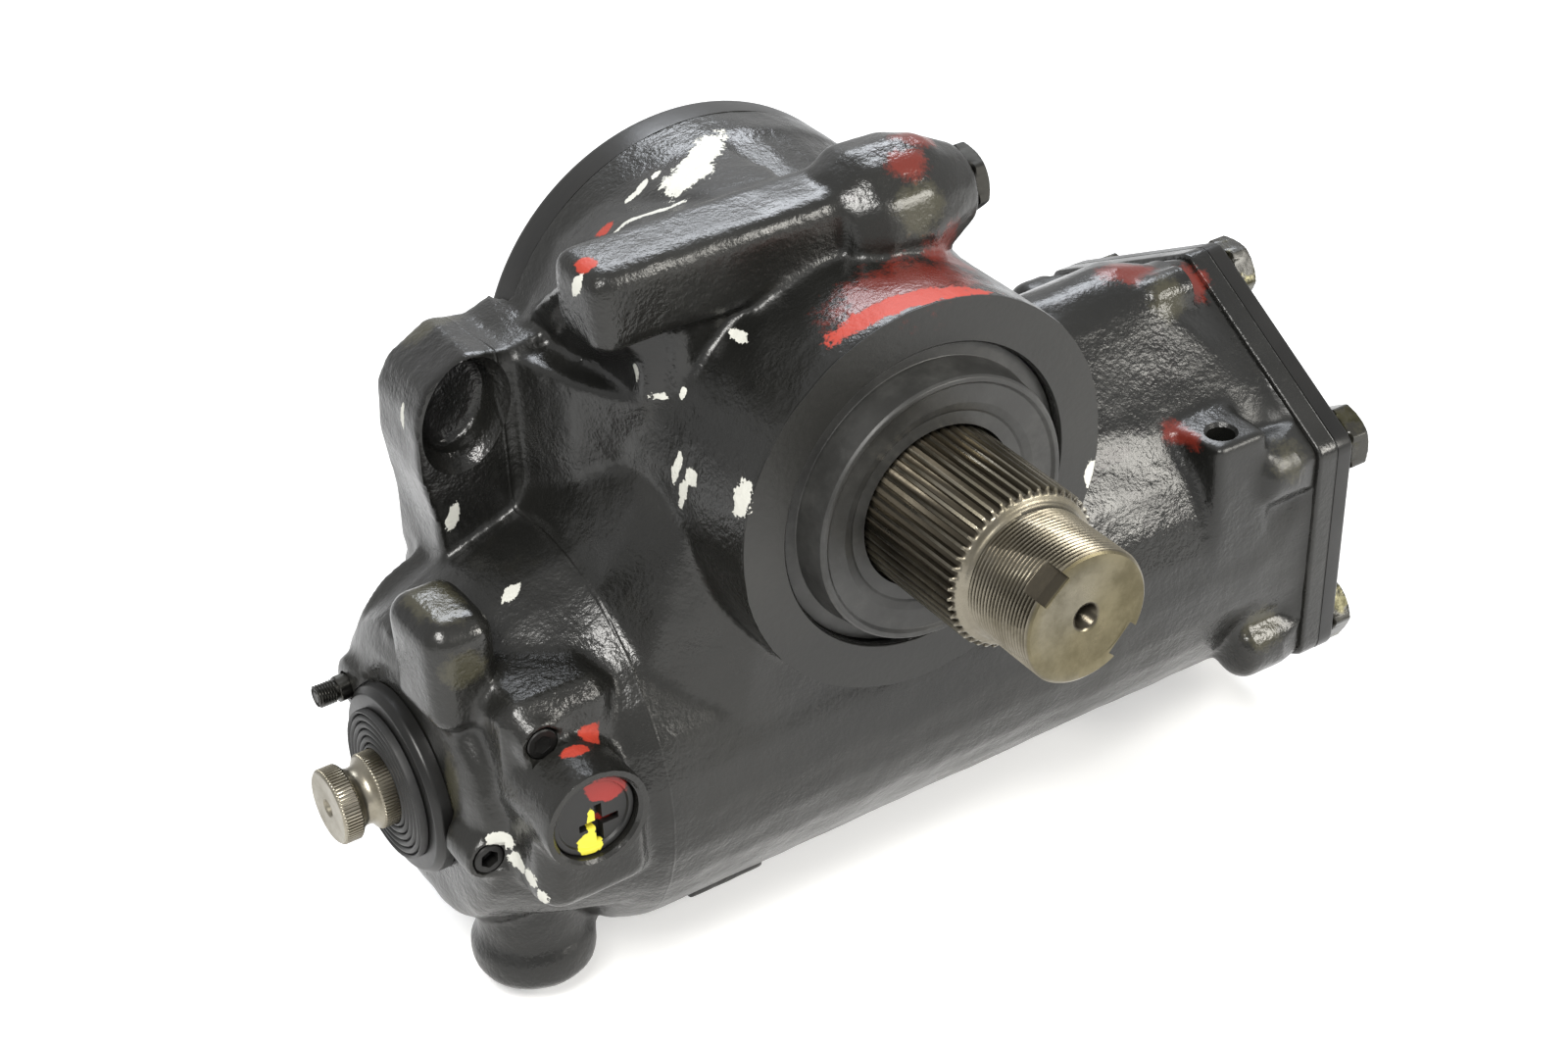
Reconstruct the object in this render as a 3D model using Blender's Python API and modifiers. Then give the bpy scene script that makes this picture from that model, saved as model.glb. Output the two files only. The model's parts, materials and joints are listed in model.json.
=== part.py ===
"""Hydraulic steering gearbox for a truck: ball screw, rack piston and toothed sector shaft.

Metres, +Z up. X is the axis of the cylinder, piston and worm, with the input shaft at -X
and the end cover at +X. The sector shaft lies along Y above the cylinder, its splined
end towards -Y. Every piece hangs from one empty, which stands the gearbox on Z = 0.
"""
import math

import bmesh
import bpy
from mathutils import Matrix, Vector

# Clearances between pieces
GAP = 0.0003
SLIDE_GAP = 0.0004
PISTON_END_GAP = 0.0028

# Sector shaft, along Y above the cylinder axis
SECTOR_Z = 0.098
SECTOR_TEETH = 13
SECTOR_TEETH_MADE = 5
SECTOR_PITCH_R = 0.048
SECTOR_SWING = math.radians(42)
PRESSURE_ANGLE = math.radians(25)
BACKLASH = 0.0004
ADDENDUM_SHARE = 0.90
DEDENDUM_SHARE = 1.10
SECTOR_WIDTH = 0.046
SECTOR_HUB_R = 0.034
JOURNAL_R = 0.031
REAR_JOURNAL_R = 0.026
SPLINE_R = 0.0272
SPLINE_DEPTH = 0.0016
SPLINE_TEETH = 48
THREAD_R = 0.0225
SHAFT_END_Y = -0.1692
THREAD_START_Y = -0.1386
SPLINE_START_Y = -0.0930
JOURNAL_START_Y = -0.0890
SHAFT_REAR_Y = 0.0640
NOTCH_WIDTH = 0.0100
NOTCH_LENGTH = 0.0090
NOTCH_DEPTH = 0.0050
NOTCH_ANGLES = (math.radians(130), math.radians(-45))
CENTRE_HOLE_R = 0.0045
CENTRE_HOLE_DEPTH = 0.0120

# Cylinder, piston and rack
CYLINDER_R = 0.074
BORE_R = 0.060
BORE_START_X = -0.088
FLANGE_X = 0.1845
FLANGE_T = 0.0075
PISTON_RING_WIDTH = 0.0034
PISTON_RING_DEPTH = 0.0040
PISTON_RING_INSET = 0.018
PISTON_LENGTH = 0.192
PISTON_END_WALL = 0.014
NUT_LENGTH = 0.088
PISTON_HOLLOW_R = 0.030

# Ball screw
LEAD = 0.014
BALL_R = 0.0030
BALL_CIRCLE_R = 0.0185
GROOVE_R = 0.0041
BALL_TRAIN_X = -0.005
WORM_R = 0.0176
NUT_BORE_R = 0.0194
WORM_JOURNAL_R = 0.0150
WORM_END_X = 0.058
GROOVE_STEPS = 14
NUT_STEPS = 30
BALL_LOOP_HALF = 1.0
BEADS_PER_TURN = 16
RETURN_TUBE_R = 0.0036
RETURN_POCKET_Z = 0.0400

# Valve end
VALVE_BORE_R = 0.0280
VALVE_FACE_X = -0.1480
VALVE_BORE_END_X = -0.0980
WALL_HOLE_R = 0.0210
SLEEVE_R = 0.0277
SLEEVE_BORE_R = 0.0172
SLEEVE_START_X = -0.1317
SLEEVE_END_X = -0.1060
SLEEVE_GROOVES = 3
SLEEVE_PORT_R = 0.0016
SLEEVE_RING_WIDTH = 0.0022
SLEEVE_RING_DEPTH = 0.0022
ROTOR_R = 0.0168
ROTOR_SLOTS = 6
TORSION_BAR_R = 0.0042
TORSION_BAR_START_X = -0.1500
TORSION_BAR_END_X = -0.0600
INPUT_R = 0.0131
INPUT_NECK_R = 0.0100
INPUT_END_X = -0.1777
INPUT_BAND_WIDTH = 0.0070
INPUT_NECK_WIDTH = 0.0075
CAP_R = 0.0330
CAP_THREAD_R = 0.0300
CAP_FACE_X = -0.1545
CAP_END_X = -0.1325
CAP_BORE_R = 0.0220
CAP_SLOTS = 4
BOOT_R = 0.0262
BOOT_FOLDS = 3
BOOT_FACE_X = -0.1580

# End cover, a hexagon with a bolt at each corner
HEX_APOTHEM = 0.0775
HEX_CORNER_R = 0.0885
HEX_PHASE = math.radians(92)
COVER_T = 0.0070
COVER_SPIGOT = 0.0035
COVER_BOLT_CIRCLE_R = 0.0755
COVER_BOLTS = 6
COVER_BOLT_R = 0.0070
COVER_BOLT_LENGTH = 0.0200
COVER_BOLT_HEAD_R = 0.0127
COVER_BOLT_HEAD_H = 0.0088
FLANGE_BOSS_R = 0.0115
FLANGE_BOSS_STARTS = (0.165, 0.168, 0.157, 0.157, 0.157, 0.157)
COVER_SEAL_WALL = 0.0045
COVER_SEAL_WIDTH = 0.0026

# Sector housing: front boss and rear drum
BOSS_R = 0.0683
BOSS_FACE_Y = -0.0884
SEAL_BORE_R = 0.0525
SEAL_SEAT_Y = -0.0690
FRONT_BEARING_R = 0.0410
FRONT_BEARING_Y = -0.0300
DRUM_FACE_Y = 0.0460
CHAMBER_ROOM = 0.0034
CHAMBER_FRONT_Y = -0.0270

# Seals and rings of the front boss
CLIP_T = 0.0026
CLIP_GROOVE = 0.0016
DUST_RING_STEP = 0.0069
DUST_RING_FACE_Y = -0.0975
FRONT_RACE_IN_R = 0.0372

# Side cover at the rear
SIDE_COVER_T = 0.0120
SIDE_COVER_SPIGOT = 0.0160
SIDE_COVER_HUB_R = 0.0420
SIDE_COVER_END_Y = 0.0800
COVER_HUB_BORE_END_Y = 0.0655
REAR_RACE_IN_R = 0.0308
SIDE_COVER_BOLTS = 8
SIDE_BOLT_WALL = 0.0082
SIDE_BOLT_RIM = 0.0118
SIDE_BOLT_FIRST = math.radians(-33)
SIDE_BOLT_SPAN = math.radians(246)
SIDE_BOLT_R = 0.0040
SIDE_BOLT_LENGTH = 0.0280
SIDE_BOLT_HEAD_R = 0.0075
SIDE_BOLT_HEAD_H = 0.0053
REAR_BEARING_R = 0.0345
ADJUSTER_R = 0.0100
ADJUSTER_END_Y = 0.1010
ADJUSTER_HEAD_R = 0.0150
ADJUSTER_HEAD_T = 0.0050
LOCKNUT_R = 0.0173
LOCKNUT_H = 0.0100

# Neck between the sector housing and the end flange, as (X, size) tables
NECK_STATIONS = (0.040, 0.090, 0.119, 0.142, 0.164, 0.1770)
NECK_CORNER = ((0.040, 0.086), (0.090, 0.090), (0.119, 0.0935), (0.142, 0.095), (0.164, 0.095),
               (0.177, 0.0885))
NECK_SPREAD = math.radians(30)
NECK_LOWER_R = 0.0715
RING_STEPS = 30

# Mounting lugs and bosses of the casting
SADDLE_STATIONS = (
    (-0.0700, ((-0.0500, 0.0800), (-0.0540, 0.0600), (-0.0580, 0.0300), (-0.0580, 0.0000))),
    (-0.0560, ((-0.0680, 0.0940), (-0.0820, 0.0600), (-0.0920, 0.0360), (-0.0960, 0.0000))),
    (-0.0350, ((-0.0720, 0.1000), (-0.0880, 0.0700), (-0.1040, 0.0400), (-0.1100, 0.0000))),
    (0.0420, ((-0.0760, 0.1000), (-0.0900, 0.0740), (-0.1060, 0.0440), (-0.1100, 0.0000))),
)
LUG_REAR = ((-0.0600, 0.1380), (-0.0700, 0.1320), (-0.0830, 0.1270), (-0.0970, 0.1300), (-0.1120, 0.1220),
            (-0.1170, 0.1130), (-0.1180, 0.0960), (-0.1150, 0.0720), (-0.1160, 0.0380), (-0.0600, 0.0300))
LUG_FRONT = ((-0.0600, 0.1360), (-0.0720, 0.1330), (-0.0860, 0.1310), (-0.1000, 0.1340), (-0.1160, 0.1260),
             (-0.1210, 0.1150), (-0.1220, 0.0960), (-0.1180, 0.0760), (-0.1160, 0.0400), (-0.0600, 0.0300))
LUG_POCKET_CENTRE = (-0.1035, 0.1130)
LUG_POCKET_SIZE = (0.0125, 0.0170)
LUG_POCKET_TILT = math.radians(-22)
LUG_POCKET_DEPTH = 0.0120
LUG_FRONT_Y = 0.0200
LUG_REAR_Y = 0.0580
RAIL_Y = -0.0330
RAIL_Z = 0.1720
RAIL_SIZE = 0.0280
RAIL_START_X = -0.0890
SHOULDER_STATIONS = (
    (-0.0290, ((-0.0845, 0.1828), (-0.0560, 0.1842), (-0.0280, 0.1842), (-0.0020, 0.1838),
               (-0.0020, 0.1480), (-0.0400, 0.1080), (-0.0700, 0.1480))),
    (0.0420, ((-0.0715, 0.1240), (-0.0538, 0.1518), (-0.0285, 0.1686), (0.0010, 0.1742),
              (0.0010, 0.1480), (-0.0400, 0.1080), (-0.0670, 0.1100))),
)
PLUG_BOSS_R = 0.0235
PLUG_BOSS_START_X = 0.0000
PLUG_BOSS_END_X = 0.0510
HEX_PLUG_Y = -0.0350
HEX_PLUG_Z = 0.1705
HEX_PLUG_R = 0.0090
HEX_PLUG_STEM = 0.0140
HEX_PLUG_H = 0.0060
HEX_PLUG_HEAD_R = 0.0120
BRACKET_BASE_Z = 0.0100
BRACKET_TOP_Z = 0.0560
BRACKET_STEP_Z = 0.0360
BRACKET = ((0.1240, -0.0400), (0.1340, -0.0725), (0.1560, -0.0725), (0.1560, -0.0250), (0.1260, -0.0250))
BRACKET_STEP = ((0.1540, -0.0705), (0.1780, -0.0705), (0.1780, -0.0300), (0.1540, -0.0300))
BRACKET_HOLE_X = 0.1425
BRACKET_HOLE_Y = -0.0640
BRACKET_HOLE_END_Z = 0.0300
BRACKET_HOLE_R = 0.0050
VALVE_TOP = ((-0.1510, 0.0100), (-0.1490, 0.0280), (-0.1430, 0.0400), (-0.1330, 0.0500), (-0.1200, 0.0560),
             (-0.1000, 0.0580), (-0.1000, 0.0100))
PORT_TOP_Z = 0.0560
VALVE_BLOCK_TOP_Z = 0.0810
PORT_X = -0.1220
PORT_Z = 0.0230
PORT_FACE_Y = -0.0830
PORT_R = 0.0150
PORT_DEPTH = 0.0160
PORT_PLUG_SINK = 0.0030
PORT_BOSS_R = 0.0185
PAD_FACE_Z = -0.0775
RETURN_X = -0.1190
RETURN_Y = -0.0200
RETURN_FACE_Z = -0.0770
RETURN_PORT_R = 0.0130
RETURN_DEPTH = 0.0140
BLEED_Y = 0.0345
BLEED_Z = 0.0175
BLEED_FACE_X = -0.1500
BLEED_END_X = -0.1630
BLEED_DEPTH = 0.0100
BLEED_R = 0.0040
BLEED_COLLAR_R = 0.0048
SOCKET_PLUG_R = 0.0055
SOCKET_PLUG_DEPTH = 0.0090
SOCKET_PLUGS = (
    ("upper_socket_plug", (-0.1285, 0.0430), -0.0630),
    ("lower_socket_plug", (-0.1460, -0.0020), -0.0520),
)

# Turned pieces and curves
STEPS = 24
BORE_STEPS = 32
BAR_STEPS = 12
BOLT_STEPS = 8

# Results of the sizes above
SECTOR_MODULE = 2 * SECTOR_PITCH_R / SECTOR_TEETH
RACK_PITCH_Z = SECTOR_Z - SECTOR_PITCH_R
CHAMBER_R = SECTOR_PITCH_R + ADDENDUM_SHARE * SECTOR_MODULE + CHAMBER_ROOM
SIDE_BOLT_CIRCLE_R = CHAMBER_R + SIDE_BOLT_WALL
DRUM_R = SIDE_BOLT_CIRCLE_R + SIDE_BOLT_RIM
DUST_RING_R = SEAL_BORE_R - DUST_RING_STEP
PISTON_TRAVEL = SECTOR_PITCH_R * SECTOR_SWING
PISTON_START_X = BORE_START_X + PISTON_END_GAP + PISTON_TRAVEL
PISTON_END_X = PISTON_START_X + PISTON_LENGTH
COVER_SEAL_R = BORE_R + COVER_SEAL_WALL
COVER_FACE_X = FLANGE_X + GAP
COVER_OUTER_X = COVER_FACE_X + COVER_T
BOLT_HEAD_X = COVER_OUTER_X + GAP
COVER_SPIGOT_Y = DRUM_FACE_Y - SIDE_COVER_SPIGOT
CHAMBER_FLAT_Z = math.sqrt((BORE_R + 0.0005) ** 2 - COVER_SPIGOT_Y ** 2)
COVER_FLAT_Z = CHAMBER_FLAT_Z - 0.0065
ROUND_SHARE = math.cos(math.pi / STEPS)
SHAFT_FRONT_SHOULDER_Y = -SECTOR_WIDTH / 2 - GAP
SEAL_INNER_R = JOURNAL_R + SLIDE_GAP
ROLLER_IN_R = JOURNAL_R + SLIDE_GAP
LOWEST_Z = -HEX_CORNER_R * math.cos(math.radians(2))
OVERALL_X = (INPUT_END_X, BOLT_HEAD_X + COVER_BOLT_HEAD_H)
OVERALL_Y = (SHAFT_END_Y, ADJUSTER_END_Y)

# Local Z of a turned piece, laid along each axis
TURN = {
    "X": Matrix.Rotation(math.radians(90), 4, "Y"),
    "Y": Matrix.Rotation(math.radians(-90), 4, "X"),
    "Z": Matrix.Identity(4),
}
# An outline drawn in (Y, Z), (X, Z) or (X, Y), raised along the axis named
FACE = {
    "X": Matrix(((0, 0, 1, 0), (1, 0, 0, 0), (0, 1, 0, 0), (0, 0, 0, 1))),
    "Y": Matrix(((1, 0, 0, 0), (0, 0, -1, 0), (0, 1, 0, 0), (0, 0, 0, 1))),
    "Z": Matrix.Identity(4),
}


def clear_scene():
    """Remove every object that the file opened with."""
    for obj in list(bpy.data.objects):
        bpy.data.objects.remove(obj, do_unlink=True)


def new_collection(name):
    """Make a collection in the scene."""
    collection = bpy.data.collections.new(name)
    bpy.context.scene.collection.children.link(collection)
    return collection


clear_scene()
PARTS = new_collection("steering_gearbox")
CUTTERS = new_collection("cutters")

DATUM = bpy.data.objects.new("datum", None)
DATUM.location = (-sum(OVERALL_X) / 2, -sum(OVERALL_Y) / 2, -LOWEST_Z)
PARTS.objects.link(DATUM)


def new_material(name, colour, roughness, metallic):
    """Make a Principled material."""
    material = bpy.data.materials.new(name)
    material.use_nodes = True
    shader = material.node_tree.nodes["Principled BSDF"]
    shader.inputs["Base Color"].default_value = (*colour, 1)
    shader.inputs["Roughness"].default_value = roughness
    shader.inputs["Metallic"].default_value = metallic
    return material


PAINT = ((0.018, 0.018, 0.017), 0.42, 0.0)
STEEL = ((0.42, 0.39, 0.33), 0.34, 1.0)
DARK_STEEL = ((0.16, 0.155, 0.13), 0.45, 1.0)
RUBBER = ((0.020, 0.020, 0.020), 0.70, 0.0)
PLASTIC = ((0.030, 0.030, 0.032), 0.50, 0.0)
FLUOROPLASTIC = ((0.30, 0.12, 0.05), 0.55, 0.0)


def place(obj, matrix):
    """Hang an object from the datum at a place in the gearbox's own frame."""
    CUTTERS.objects.link(obj)
    obj.parent = DATUM
    obj.matrix_basis = matrix
    obj.hide_render = True
    obj.display_type = "WIRE"
    return obj


def finish(obj, look):
    """Turn a shape into a finished piece with a material of its own."""
    CUTTERS.objects.unlink(obj)
    PARTS.objects.link(obj)
    obj.hide_render = False
    obj.display_type = "TEXTURED"
    obj.data.materials.clear()
    obj.data.materials.append(new_material(obj.name, *look))
    return obj


def turned(name, outline, axis="X", centre=(0, 0, 0), steps=STEPS, ring=False):
    """Revolve (position, radius) points, listed towards +axis on the outer side."""
    count = len(outline)
    points = [(radius, 0, position) for position, radius in reversed(outline)]
    edges = [(i, i + 1) for i in range(count - 1)]
    if ring:
        edges.append((count - 1, 0))
    mesh = bpy.data.meshes.new(name)
    mesh.from_pydata(points, edges, [])
    obj = place(bpy.data.objects.new(name, mesh), Matrix.Translation(centre) @ TURN[axis])
    screw = obj.modifiers.new("revolve", "SCREW")
    screw.steps = steps
    screw.render_steps = steps
    screw.use_merge_vertices = True
    screw.merge_threshold = 0.00001
    return obj


def rod(name, start, end, radius, axis="X", centre=(0, 0, 0), steps=STEPS, end_radius=None):
    """Make a round bar or a cone from start to end along an axis."""
    mesh = bpy.data.meshes.new(name)
    shape = bmesh.new()
    bmesh.ops.create_cone(
        shape,
        cap_ends=True,
        segments=steps,
        radius1=radius,
        radius2=radius if end_radius is None else end_radius,
        depth=end - start,
        matrix=Matrix.Translation((0, 0, (start + end) / 2)),
    )
    shape.to_mesh(mesh)
    shape.free()
    return place(bpy.data.objects.new(name, mesh), Matrix.Translation(centre) @ TURN[axis])


def box(name, low, high, round_edge=0, rounds=2):
    """Make a block between two corners, with rounded edges if asked."""
    low, high = Vector(low), Vector(high)
    mesh = bpy.data.meshes.new(name)
    shape = bmesh.new()
    bmesh.ops.create_cube(shape, size=1, matrix=Matrix.Diagonal((*(high - low), 1)))
    shape.to_mesh(mesh)
    shape.free()
    obj = place(bpy.data.objects.new(name, mesh), Matrix.Translation((low + high) / 2))
    if round_edge:
        bevel = obj.modifiers.new("round", "BEVEL")
        bevel.width = round_edge
        bevel.segments = rounds
    return obj


def meshed(obj):
    """Turn a curve object into a mesh object with welded caps."""
    bpy.context.view_layer.update()
    source = obj.evaluated_get(bpy.context.evaluated_depsgraph_get())
    mesh = bpy.data.meshes.new_from_object(source)
    mesh.materials.clear()
    shape = bmesh.new()
    shape.from_mesh(mesh)
    bmesh.ops.remove_doubles(shape, verts=shape.verts, dist=0.000001)
    bmesh.ops.recalc_face_normals(shape, faces=shape.faces)
    shape.to_mesh(mesh)
    shape.free()
    name, basis = obj.name, obj.matrix_basis.copy()
    bpy.data.objects.remove(obj, do_unlink=True)
    return place(bpy.data.objects.new(name, mesh), basis)


def plate(name, outlines, start, end, axis, centre=(0, 0, 0)):
    """Raise flat outlines from start to end along an axis; later outlines are holes."""
    curve = bpy.data.curves.new(name, "CURVE")
    curve.dimensions = "2D"
    curve.fill_mode = "BOTH"
    curve.extrude = abs(end - start) / 2
    for outline in outlines:
        spline = curve.splines.new("POLY")
        spline.points.add(len(outline) - 1)
        spline.use_cyclic_u = True
        for point, (u, v) in zip(spline.points, outline):
            point.co = (u, v, 0, 1)
    middle = Vector(centre)
    middle["XYZ".index(axis)] += (start + end) / 2
    return meshed(place(bpy.data.objects.new(name, curve), Matrix.Translation(middle) @ FACE[axis]))


def pipe(name, points, radius, radii=None, rounding=2):
    """Sweep a round tube along points; radii give each point's share of the radius."""
    curve = bpy.data.curves.new(name, "CURVE")
    curve.dimensions = "3D"
    curve.bevel_depth = radius
    curve.bevel_resolution = rounding
    curve.use_fill_caps = True
    spline = curve.splines.new("POLY")
    spline.points.add(len(points) - 1)
    for index, (point, place_at) in enumerate(zip(spline.points, points)):
        point.co = (*place_at, 1)
        point.radius = 1 if radii is None else radii[index]
    return meshed(place(bpy.data.objects.new(name, curve), Matrix.Identity(4)))


def loft(name, rings):
    """Skin a closed solid over rings of points that match one to one."""
    mesh = bpy.data.meshes.new(name)
    shape = bmesh.new()
    layers = [[shape.verts.new(point) for point in ring] for ring in rings]
    count = len(rings[0])
    for lower, upper in zip(layers, layers[1:]):
        for i in range(count):
            j = (i + 1) % count
            shape.faces.new((lower[i], lower[j], upper[j], upper[i]))
    shape.faces.new(layers[0])
    shape.faces.new(layers[-1])
    bmesh.ops.recalc_face_normals(shape, faces=shape.faces)
    shape.to_mesh(mesh)
    shape.free()
    return place(bpy.data.objects.new(name, mesh), Matrix.Identity(4))


def combine(target, operation, tools):
    """Join tools to a shape, or cut them from it."""
    group = bpy.data.collections.new(f"{target.name}_{operation}".lower())
    CUTTERS.children.link(group)
    for tool in tools:
        CUTTERS.objects.unlink(tool)
        group.objects.link(tool)
    modifier = target.modifiers.new(group.name, "BOOLEAN")
    modifier.operation = operation
    modifier.solver = "EXACT"
    modifier.operand_type = "COLLECTION"
    modifier.collection = group
    return target


def join(target, *tools):
    """Unite tools with a shape."""
    return combine(target, "UNION", tools)


def cut(target, *tools):
    """Take tools away from a shape."""
    return combine(target, "DIFFERENCE", tools)


def circle(radius, count, phase=0.0):
    """Points round a circle."""
    angles = [phase + 2 * math.pi * i / count for i in range(count)]
    return [(radius * math.cos(a), radius * math.sin(a)) for a in angles]


def flat_circle(radius, flat_z):
    """Circle about the sector axis, cut off level at a height above the cylinder axis."""
    low = math.asin((flat_z - SECTOR_Z) / radius)
    angles = [low + (math.pi - 2 * low) * i / BORE_STEPS for i in range(BORE_STEPS + 1)]
    return [(radius * math.cos(a), radius * math.sin(a)) for a in angles]


def side_bolt_places():
    """(X, Z) of each side cover bolt."""
    step = SIDE_BOLT_SPAN / (SIDE_COVER_BOLTS - 1)
    angles = [SIDE_BOLT_FIRST + step * i for i in range(SIDE_COVER_BOLTS)]
    return [(SIDE_BOLT_CIRCLE_R * math.cos(a), SECTOR_Z + SIDE_BOLT_CIRCLE_R * math.sin(a)) for a in angles]


def hexagon_r(angle, apothem, corner_r, phase):
    """Radius of a hexagon with rounded corners at an angle."""
    off = (angle - phase) % math.radians(60) - math.radians(30)
    return min(apothem / math.cos(off), corner_r)


def blend(low, high, value):
    """Ease from 0 at low to 1 at high."""
    share = min(1.0, max(0.0, (value - low) / (high - low)))
    return share * share * (3 - 2 * share)


# Gear teeth

def involute(angle):
    """Involute of an angle."""
    return math.tan(angle) - angle


def sector_outline():
    """Outline of the toothed sector in (X, Z) about the sector shaft."""
    base_r = SECTOR_PITCH_R * math.cos(PRESSURE_ANGLE)
    tip_r = SECTOR_PITCH_R + ADDENDUM_SHARE * SECTOR_MODULE
    root_r = SECTOR_PITCH_R - DEDENDUM_SHARE * SECTOR_MODULE
    tooth_angle = 2 * math.pi / SECTOR_TEETH
    thickness = math.pi * SECTOR_MODULE / 2 - BACKLASH
    middle_half = thickness / (2 * SECTOR_PITCH_R) + involute(PRESSURE_ANGLE)
    radii = [base_r + (tip_r - base_r) * i / 5 for i in range(6)]
    halves = [middle_half - involute(math.acos(base_r / r)) for r in radii]
    flank = [(root_r, halves[0])] + list(zip(radii, halves))
    points = []
    side = SECTOR_TEETH_MADE // 2
    for tooth in range(-side, side + 1):
        centre = -math.pi / 2 + tooth * tooth_angle
        for r, half in flank:
            points.append((r * math.cos(centre - half), r * math.sin(centre - half)))
        for r, half in reversed(flank):
            points.append((r * math.cos(centre + half), r * math.sin(centre + half)))
    inner_r = SECTOR_HUB_R - 0.003
    hub_from = -math.pi / 2 + (side + 0.75) * tooth_angle
    hub_sweep = 2 * math.pi - 2 * (side + 0.75) * tooth_angle
    for i in range(9):
        angle = hub_from + hub_sweep * i / 8
        points.append((inner_r * math.cos(angle), inner_r * math.sin(angle)))
    return points


def rack_gap(number):
    """Outline in (X, Z) of one gap between rack teeth."""
    pitch = math.pi * SECTOR_MODULE
    slope = math.tan(PRESSURE_ANGLE)
    low = -DEDENDUM_SHARE * SECTOR_MODULE
    high = BORE_R - RACK_PITCH_Z
    points = []
    for side, heights in ((-1, (high, low)), (1, (low, high))):
        for height in heights:
            half = pitch / 4 + BACKLASH / 2 + height * slope
            points.append((number * pitch + side * half, RACK_PITCH_Z + height))
    return points


def helix(first_turn, last_turn, radius, steps=GROOVE_STEPS):
    """Points of the ball path, which passes straight below the worm at turn 0."""
    count = round((last_turn - first_turn) * steps)
    points = []
    for i in range(count + 1):
        turn = first_turn + (last_turn - first_turn) * i / count
        angle = 2 * math.pi * turn - math.pi / 2
        points.append((BALL_TRAIN_X + LEAD * turn, radius * math.cos(angle), radius * math.sin(angle)))
    return points


def splines(name, start, end):
    """Straight-sided splines of the drop arm seat."""
    outline = []
    for tooth in range(SPLINE_TEETH):
        for share, depth in ((0.0, 0), (0.50, 1)):
            angle = 2 * math.pi * (tooth + share) / SPLINE_TEETH
            radius = SPLINE_R - depth * SPLINE_DEPTH
            outline.append((radius * math.cos(angle), radius * math.sin(angle)))
    return plate(name, [outline], start, end, "Y", (0, 0, SECTOR_Z))


def roller_ring(name, start, end, inner_r, outer_r, axis="X", centre=(0, 0, 0)):
    """Rollers in their cage, as one fluted ring."""
    count = max(12, round(2.0 * (inner_r + outer_r) / (outer_r - inner_r)))
    flute = (outer_r - inner_r) * 0.22
    rings = []
    for radius, dip in ((outer_r, -flute), (inner_r, flute)):
        points = []
        for i in range(2 * count):
            angle = math.pi * i / count
            r = radius + (dip if i % 2 else 0)
            points.append((r * math.cos(angle), r * math.sin(angle)))
        rings.append(points)
    return plate(name, rings, start, end, axis, centre)


def ring(name, start, end, inner_r, outer_r, axis="X", centre=(0, 0, 0), steps=STEPS):
    """Square-section ring."""
    outline = [(start, outer_r), (end, outer_r), (end, inner_r), (start, inner_r)]
    return turned(name, outline, axis, centre, steps, ring=True)


def hex_bolt(name, head_at, towards, shank_r, length, head_r, head_h, axis, centre):
    """Hexagon-headed bolt; towards is the side of the head, +1 or -1 along the axis."""
    span = sorted((head_at, head_at + towards * head_h))
    shank_span = sorted((head_at - towards * length, head_at + towards * head_h / 2))
    head = rod(name, *span, head_r, axis, centre, 6)
    bevel = head.modifiers.new("chamfer", "BEVEL")
    bevel.width = head_h * 0.12
    bevel.segments = 1
    bevel.limit_method = "ANGLE"
    bevel.angle_limit = math.radians(70)
    return join(head, rod(f"{name}_shank", *shank_span, shank_r, axis, centre, BOLT_STEPS))


SECTOR_CENTRE = (0, 0, SECTOR_Z)


# Sector shaft and what carries it

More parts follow.
